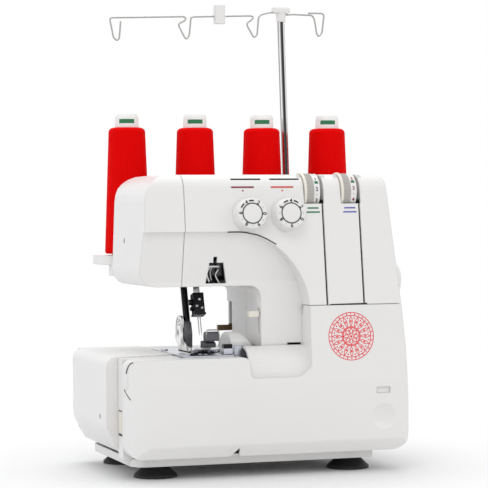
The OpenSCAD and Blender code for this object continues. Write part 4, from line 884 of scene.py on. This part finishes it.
class OVERLOCK_OT_looper_wheels(Operator):
    """Two looper tension wheels: cream rim, grooved grip, numbered band"""
    bl_idname = "overlock.looper_wheels"
    bl_label = "Looper wheels"

    def execute(self, context):
        s = context.scene.overlock_dials
        band = BAND_RADIUS / MM
        rim = [(4, 0), (19.3, 0), (19.8, 0.3), (20, 0.9), (20, 2.1), (19.8, 2.6), (19.3, 2.8), (4, 2.8)]
        grip = [(4, 2.8), (19.1, 2.8), (19.1, 10.2), (18.6, 10.4), (4, 10.4)]
        rings = (
            ("rim", rim, 128, None, "cream"),
            ("grip", grip, 432, self.grooves, "grip"),
            ("band", [(4, 10.4), (band, 10.4), (band, 16.6), (18.4, 17), (4, 17)], 128, None, "casing"),
            ("axle", [(2.9, -6), (3.9, -6), (3.9, 24.5), (2.9, 24.5)], 48, None, "steel"))
        dash = line([(-0.7 * MM, 0), (0.7 * MM, 0)], 0.45 * MM, PRINT)
        block = line([(-1.9 * MM, 0), (1.9 * MM, 0)], 3.0 * MM, 0.13 * MM)
        for side, first, start, tint in (("upper", 2, 9, "ink"), ("lower", 3, 12, "maroon mark")):
            origin, axis = pivot(f"{side}_looper_tension")
            origin = origin - axis * 8.5 * MM
            body = f"{side}_dial"
            for part, outline, count, wave, material in rings:
                points = placed(turned(np.array(outline) * MM, count, wave), origin, Y, Z)
                shape = sheet(points, wrap_rows=True)
                piece = build(f"{side}_wheel_{part}", *shape, material, body, "dial_grey", 30)
                if part == "rim":
                    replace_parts(piece, f"{side}_looper_dial")
            marks = []
            for k in range(10):
                place = 36 * k + start
                figure = digit(str((first - k) % 10), s.digit, 0.14 * MM)
                marks += [self.wrapped(*figure, origin, place), self.wrapped(*dash, origin, place + 18)]
            build(f"{side}_wheel_numbers", *joined(marks), tint, body, "dial_grey")
            flat = self.wrapped(*block, origin, start + 22)
            build(f"{side}_wheel_block", *flat, "green mark", body, "dial_grey")
        return {"FINISHED"}

    def grooves(self, a, step):
        """Square grooves 0.3 mm deep round the grip's outer face, 72 to the turn."""
        return -0.3 * MM * (np.cos(72 * a) > 0) * ((step == 1) | (step == 2))

    def wrapped(self, points, faces, origin, degrees):
        """Flat work laid round the band: height v turns by v / r above the front; its thickness adds to r."""
        a = math.radians(degrees) + points[:, 1] / BAND_RADIUS
        out = BAND_RADIUS - 0.03 * MM + points[:, 2]
        x = origin[0] + 13.5 * MM + points[:, 0]
        return np.stack([x, origin[1] - out * np.cos(a), origin[2] + out * np.sin(a)], -1), faces


class OVERLOCK_OT_colour_marks(Operator):
    """Plain colour bars and dots over the dials and under the wheels"""
    bl_idname = "overlock.colour_marks"
    bl_label = "Colour marks"

    def execute(self, context):
        origin, axis = pivot("left_needle_tension")
        up = np.cross(axis, X)
        base = np.array([0, origin[1], origin[2]])
        left, right = origin[0] - 5 * MM, pivot("right_needle_tension")[0][0] - 4 * MM
        upper, lower = (pivot(f"{side}_looper_tension")[0][0] for side in ("upper", "lower"))
        over, dot, near, under = 28.3 * MM, 24.7 * MM, 6.6 * MM, 2.4 * MM
        rows = (
            ("left_needle_mark", "maroon mark", [(left, over, 24 * MM)], left),
            ("right_needle_mark", "orange mark", [(right, over, 24 * MM)], right),
            ("upper_looper_mark", "green mark", [(upper, near, 12 * MM), (upper, under, 14.5 * MM)], None),
            ("lower_looper_mark", "violet mark", [(lower, near, 12 * MM), (lower, under, 14.5 * MM)], None))
        for name, tint, bars, point in rows:
            marks = [line([(x - w / 2, v), (x + w / 2, v)], 1.5 * MM, PRINT) for x, v, w in bars]
            if point is not None:
                marks.append(spot(point, dot, 0.9 * MM))
            points, faces = joined(marks)
            build(name, placed(points, base, X, up), faces, tint, "machine", "casing")
        return {"FINISHED"}


class OVERLOCK_OT_rosette(Operator):
    """Red compass rosette printed on the front cover"""
    bl_idname = "overlock.rosette"
    bl_label = "Rosette"

    def execute(self, context):
        s = context.scene.overlock_ornament
        ends = ((0, 0), (1, 0), (0, 1))
        centre, right, above = (on_cover(s.across + u * s.radius, s.height + v * s.radius) for u, v in ends)
        step, inner_step = 22.5, 45
        art = [self.circle(far, s) for far in (0.985, 0.86, 0.40, 0.355)]
        for ray in np.arange(16) * step:
            between = ray + step / 2
            art += [self.petal(ray, 0.42, 0.84, 0.066, s), self.kite(between, 0.915, 0.052, s),
                    self.dot(ray, 0.925, 0.022, s), self.dot(between, 0.765, 0.032, s),
                    self.kite(ray, 0.62, 0.07, s)]
        for ray in np.arange(8) * inner_step:
            art += [self.petal(ray, 0.09, 0.335, 0.06, s), self.dot(ray + inner_step / 2, 0.27, 0.026, s)]
        art.append(self.dot(0, 0, 0.05, s))
        points, faces = joined(art)
        flat = placed(points - np.array([0, 0, SUNK]), centre, right - centre, above - centre)
        build("front_rosette", flat, faces, "ornament red", "front_door", "casing")
        return {"FINISHED"}

    def circle(self, far, s):
        """Printed circle at a share of the rosette's radius."""
        a = np.linspace(0, 2 * math.pi, 96, endpoint=False)
        return line(np.stack([np.cos(a), np.sin(a)], -1) * far * s.radius, s.line, PRINT, True)

    def petal(self, degrees, start, end, half, s):
        """Leaf outline: at share t of its length it lies half |sin(pi t)| to either side of the ray."""
        t = np.linspace(0, 1, 15)
        along = np.concatenate([t, t[::-1][1:-1]]) * (end - start) + start
        aside = np.concatenate([np.sin(math.pi * t), -np.sin(math.pi * t[::-1][1:-1])]) * half
        flat = np.stack([along, aside], -1) @ self.turn(degrees) * s.radius
        return line(flat, s.line * 0.85, PRINT, True)

    def kite(self, degrees, far, half, s):
        """Small filled diamond on the ray."""
        ring = np.array([(far - half, 0), (far, -half * 0.6), (far + half, 0), (far, half * 0.6)])
        flat = ring @ self.turn(degrees) * s.radius
        return sheet(np.stack([np.column_stack([flat, np.full(4, h)]) for h in (0, PRINT)]))

    def dot(self, degrees, far, r, s):
        """Small filled dot on the ray."""
        x, y = np.array([far, 0]) @ self.turn(degrees) * s.radius
        return spot(x, y, r * s.radius, 14)

    def turn(self, degrees):
        """Matrix that turns rows of points by an angle."""
        a = math.radians(degrees)
        return np.array([(math.cos(a), math.sin(a)), (-math.sin(a), math.cos(a))])


class OVERLOCK_OT_thread_guides(Operator):
    """Wire guides with an open loop over each cone"""
    bl_idname = "overlock.thread_guides"
    bl_label = "Thread guides"

    def execute(self, context):
        head = middle("guide_head").x
        y = middle("guide_wire").y
        level, slope = 481.2, 0.033
        loops = (
            (-107, [(4.4, -4), (3.6, -14), (2.7, -23), (-0.2, -25), (-3.6, -22), (-5.6, -12), (-7.6, -2.2),
                    (-6.5, -0.4)]),
            (-30, [(-1.8, 0), (0.6, -1.2), (0.6, -3.9), (-7.2, -7.8), (-7.2, -10.5), (-0.7, -22.8),
                   (1.7, -24.6), (4.7, -20.4), (5.7, -10), (6.6, -0.9), (9, 0)]),
            (47, [(-2.1, 0), (0.9, -0.8), (0.9, -3.4), (-5.9, -8), (-5.9, -11), (1.9, -24.2), (5.7, -21),
                  (6.6, -10), (7.5, -1.2), (10.5, 1.5), (20.4, 4), (30, 4.2)]),
            (124, [(-45, -1.5), (-30, 0), (-6.8, -0.5), (-4.4, -3.9), (-2.6, -13), (-1.4, -21.3), (1.1, -24),
                   (4.8, -20.1), (6, -10), (7.4, -0.2), (5.5, 1.9), (-11.2, 1.9)]))
        spans = [np.array([(x + u, level + slope * x + v) for u, v in loop]) * MM for x, loop in loops]
        for k, path in enumerate((np.concatenate(spans[:3]), spans[3])):
            wire = bent(np.column_stack([path[:, 0], np.full(len(path), y), path[:, 1]]), 2.6 * MM)
            shape = sheet(tube(wire, 0.95 * MM, 12))
            piece = build(f"guide_wire_{k + 1}", *shape, "wire", "mast_top", "bright_steel")
            if k == 0:
                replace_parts(piece, "guide_wire")
        tip = tube(np.array([(0, 96.75, 466), (0, 97.7, 484)]) * MM + np.array([head, 0, 0]), 4.03 * MM, 48)
        build("pole_tip", *sheet(tip), "pole", "mast", "bright_steel")
        neck = [(4.1, 476.5), (4.9, 476.5), (5.1, 477.1), (5.4, 484), (5.9, 486.6), (4.1, 486.6)]
        neck = turned(np.array(neck) * MM, 48) + np.array([head, y, 0])
        cap = [(-5.8, 486.2), (5.8, 486.2), (6, 491), (5.1, 492.8), (-5.1, 492.8), (-6, 491)]
        cap = softened(cap, 0.8) * MM + np.array([y, 0])
        crown = slab(cap, head - 9.1 * MM, head + 9.1 * MM, 0.7 * MM)
        shape = joined([sheet(neck, wrap_rows=True), crown])
        piece = build("mast_cap", *shape, "casing", "mast_top", "casing")
        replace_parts(piece, "guide_head")
        return {"FINISHED"}


class OVERLOCK_OT_presser(Operator):
    """Presser foot: split sole with an upturned front, heel bracket, ankle and toe guard"""
    bl_idname = "overlock.presser"
    bl_label = "Presser foot"

    def execute(self, context):
        body, bright, dark = "presser_unit", "bright_steel", "dark_metal"
        upturned = [(-65, 123.2), (-71, 124.6), (-75.6, 128.6), (-75.2, 130.6), (-69, 127), (-62, 126)]
        sole = [(-24, 123.2), *upturned, (-24, 126)]
        front = [(-59.5, 123.2), *upturned, (-59.5, 126)]
        parts = [plate(sole, -76, -63.7, 0.8), plate(sole, -53.3, -46, 0.8), plate(front, -64, -53, 0.8),
                 plate([(-24, 123.2), (-38, 123.2), (-38, 126), (-24, 126)], -64, -53, 0.8)]
        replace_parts(build("foot_sole", *joined(parts), "chrome", body, bright), "presser_foot")
        wall = [(-24, 124.5), (-24, 133), (-31, 139), (-38, 139), (-50, 133.5), (-66, 130), (-75.4, 130.2),
                (-70, 124.6)]
        heel = [(-34.5, 130), (-35, 158), (-31, 161), (-21, 161), (-12, 152), (-12, 134), (-20, 130)]
        rims = [plate(wall, -76, -73.8, 2), plate(heel, -75.6, -72.6, 5)]
        build("heel_bracket", *joined(rims), "chrome", body, bright)
        screw = placed(screw_head(3.4), np.array((-75.4, -26, 154)) * MM, Y, (0, 0, -1))
        build("heel_screw", *sheet(screw, cap=False), "bright screw", body, bright)
        ankle = [plate([(-37, 126), (-38, 143), (-33, 155), (-27, 155), (-25, 126)], -72.5, -64.5, 2),
                 plate([(-67.5, 126), (-69.5, 134), (-61, 137), (-60.5, 126)], -63, -49, 1.5)]
        build("foot_ankle", *joined(ankle), "toe", body, dark)
        toe = [(-73.5, 136.6), (-73.5, 143.4), (-71, 146), (-64.5, 146), (-62.5, 143.4), (-62.5, 136.6)]
        build("toe_guard", *plate(toe, -60.5, -47, 1.5), "toe", body, dark)
        hoop = [(-60, -72.5, 140), (-60, -72.5, 148), (-48, -72.5, 148), (-46.5, -73, 143), (-46.5, -71, 129)]
        wire = bent(np.array(hoop) * MM, 2 * MM)
        build("toe_hoop", *sheet(tube(wire, 0.7 * MM, 10)), "wire", body, bright)
        return {"FINISHED"}


class OVERLOCK_OT_clamp_screws(Operator):
    """Three screws on the front of the needle clamp"""
    bl_idname = "overlock.clamp_screws"
    bl_label = "Clamp screws"

    def execute(self, context):
        lean = -pivot("needle_stroke")[1]
        front = np.cross(X, lean)
        front = front * np.sign(-front[1])
        foot = np.array(middle("needle_clamp"))
        heads = []
        for x, z in ((-2.6, -2.5), (2.4, -4.5), (0.5, 4.5)):
            place = foot + np.array([x + 1.6, 0, 0]) * MM + lean * z * MM + front * 5.4 * MM
            heads.append(sheet(placed(screw_head(1.5), place, X, np.cross(front, X)), cap=False))
        build("clamp_screws", *joined(heads), "bright screw", "needle_unit", "bright_steel")
        return {"FINISHED"}


class OVERLOCK_OT_take_up(Operator):
    """Two bowed take-up levers on their spindle"""
    bl_idname = "overlock.take_up"
    bl_label = "Take-up levers"

    def execute(self, context):
        origin = pivot("take_up_swing")[0]
        low, high = (corner.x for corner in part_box("take_up_lever"))
        bar = turned([(0, low), (2.6 * MM, low), (2.6 * MM, high), (0, high)], 32)
        parts = [sheet(placed(bar, origin, Y, Z), cap=False)]
        parts += [sheet(self.blade(origin, x * MM, 3.4 * MM)) for x in (-56.5, -49.0)]
        piece = build("take_up_blades", *joined(parts), "blade", "take_up", "bright_steel")
        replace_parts(piece, "take_up_lever")
        bows = (
            ([(-54.3, 212), (-57.9, 205), (-55.4, 196.5)], 1.25),
            ([(-52.2, 211), (-54.3, 205.5), (-52.8, 198)], 0.6),
            ([(-45.2, 209), (-48.4, 203), (-44.6, 195.3)], 1.0))
        guides = []
        for path, r in bows:
            route = through(np.array([(x, -67, z) for x, z in path]) * MM, 10)
            guides.append(sheet(tube(route, r * MM, 12)))
        guides.append(plate([(-68.2, 211), (-66, 211), (-66, 213), (-68.2, 213)], -57.5, -44, 0.4, 0.2))
        piece = build("window_guides", *joined(guides), "blade", "machine", "bright_steel")
        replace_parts(piece, "thread_guides")
        return {"FINISHED"}

    def blade(self, origin, x, bow):
        """Ribbon round the spindle: at share t it stands at (20 cos a, 16 sin a), a from 172 to 262 degrees,
        bowed sideways by bow sin(pi t), its section an oblong 1.8 by 3.4 mm."""
        t = np.linspace(0, 1, 25)[:, None]
        a = np.radians(172 + 90 * t)
        k = np.linspace(0, 2 * math.pi, 12, endpoint=False)[None, :]
        r = 1 + 0.085 * np.cos(k)
        side = x - bow * np.sin(math.pi * t) + 0.9 * MM * np.sin(k)
        y, z = origin[1] + 20 * MM * r * np.cos(a), origin[2] + 16 * MM * r * np.sin(a)
        return np.stack([side + 0 * a, y, z], -1)


class OVERLOCK_OT_seams(Operator):
    """Painted shadows at the arch, channels, latch and catch; latch plate, thumb catch and knife block"""
    bl_idname = "overlock.seams"
    bl_label = "Seams and catches"

    def execute(self, context):
        # painted shadow: a dark cord under the lip of the arch's step, where the lip casts its shade
        lip_shadow_path = [(-42, -88.4, 246.9), (-33.9, -88.5, 247), (-25.8, -88.6, 246.7), (-18.4, -88.7, 245.4),
                (-10, -89, 243.5), (-0.6, -89.5, 239.4), (8.9, -90.2, 234)]
        build("arch_slit", *self.cord(lip_shadow_path, 0.7, Y), "slot", "machine", "casing")
        # painted shadow: a dark strip along the seam under the channels
        points, faces = line(np.array([(0, 0), (40.6, 0.5)]) * MM, 1.6 * MM, 0.25 * MM)
        strip = placed(points, np.array((63.4, -98.35, 172.0)) * MM, X, Z)
        build("channel_foot", strip, faces, "slot", "machine", "casing")
        # cream latch plate; its gap, brow and edge lines are painted shadows of the recess round it
        plates = (
            ("latch_plate", [(-74, 57), (-56.5, 57)], 22, 0.35, "cream", "cream_plastic"),
            ("latch_gap", [(-74, 44.6), (-58, 44.6)], 2.2, 0.45, "slot", "casing"),
            ("latch_brow", [(-75, 68.6), (-57, 68.6)], 0.6, 0.45, "catch line", "casing"),
            ("latch_edge", [(-74.5, 46), (-74.5, 68.4)], 0.45, 0.45, "catch line", "casing"))
        for name, path, width, height, tint, slot in plates:
            points, faces = line(np.array(path) * MM, width * MM, height * MM)
            build(name, self.on_side(points), faces, tint, "machine", slot)
        # painted shadows: dark crescents round the thumb catch's scoop
        crescent_shadow_paths = ([(-143.0, -96.4, 119), (-145.6, -93.4, 117.6), (-147.7, -89.6, 112), (-148.5, -86.8, 104)],
                 [(-148.9, -83, 91.5), (-148.4, -86, 89), (-147, -90.2, 85), (-145.4, -93.6, 82)])
        lines = [self.cord(path, 0.55, Z) for path in crescent_shadow_paths]
        build("catch_lines", *joined(lines), "catch line", "front_door", "casing")
        pad = [(-148.1, -86.4, 110), (-147.6, -87.8, 103), (-147.6, -87.8, 96), (-148.2, -86.2, 90)]
        pad = through(np.array(pad) * MM, 8)
        wide = 2.5 * MM * np.sin(np.linspace(0.06, math.pi - 0.06, len(pad))) ** 0.7
        build("thumb_catch", *sheet(tube(pad, wide, 16)), "casing", "front_door", "casing")
        block = plate([(-73, 122.6), (-73, 128.8), (-64, 128.8), (-64, 122.6)], -42, -32.2, 0.6, 0.3)
        build("knife_block", *block, "plate", "machine", "plate_steel")
        top = plate([(-72.6, 128.8), (-72, 133), (-65, 133), (-64.4, 128.8)], -41.6, -32.6, 1, 0.3)
        build("knife_block_top", *top, "black metal", "machine", "dark_metal")
        return {"FINISHED"}

    def cord(self, path, radius, side_of):
        """Thin round line through a path's points, in millimetres."""
        return sheet(tube(through(np.array(path) * MM, 6), radius * MM, 8, side_of))

    def on_side(self, points):
        """Flat work whose u is y and v is z, laid on the left wall and thick towards the left."""
        return np.stack([LEFT_WALL + SUNK - points[:, 2], points[:, 0], points[:, 1]], -1)


PIECES = (
    OVERLOCK_OT_stage, OVERLOCK_OT_finishes, OVERLOCK_OT_cones, OVERLOCK_OT_core_bands,
    OVERLOCK_OT_needle_dials, OVERLOCK_OT_looper_wheels, OVERLOCK_OT_colour_marks, OVERLOCK_OT_rosette,
    OVERLOCK_OT_thread_guides, OVERLOCK_OT_presser, OVERLOCK_OT_clamp_screws, OVERLOCK_OT_take_up,
    OVERLOCK_OT_seams)
GROUPS = {
    "overlock_casing": CasingSettings, "overlock_thread": ThreadSettings, "overlock_dials": DialSettings,
    "overlock_ornament": OrnamentSettings, "overlock_stage": StageSettings}


class OVERLOCK_PT_panel(Panel):
    """Buttons and settings of the machine's finish"""
    bl_idname = "OVERLOCK_PT_panel"
    bl_label = "Overlock finish"
    bl_space_type = "VIEW_3D"
    bl_region_type = "UI"
    bl_category = "Overlock"

    def draw(self, context):
        for name in GROUPS:
            group = getattr(context.scene, name)
            box = self.layout.box()
            for key in group.__annotations__:
                box.prop(group, key)
        for piece in PIECES:
            self.layout.operator(piece.bl_idname)


def register():
    for cls in (*GROUPS.values(), *PIECES, OVERLOCK_PT_panel):
        bpy.utils.register_class(cls)
    for name, group in GROUPS.items():
        setattr(bpy.types.Scene, name, PointerProperty(type=group))


def unregister():
    for name in GROUPS:
        delattr(bpy.types.Scene, name)
    for cls in (OVERLOCK_PT_panel, *reversed(PIECES), *reversed(tuple(GROUPS.values()))):
        bpy.utils.unregister_class(cls)


def main():
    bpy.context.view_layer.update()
    register()
    for piece in PIECES:
        group, name = piece.bl_idname.split(".")
        getattr(getattr(bpy.ops, group), name)()


if __name__ == "__main__":
    main()
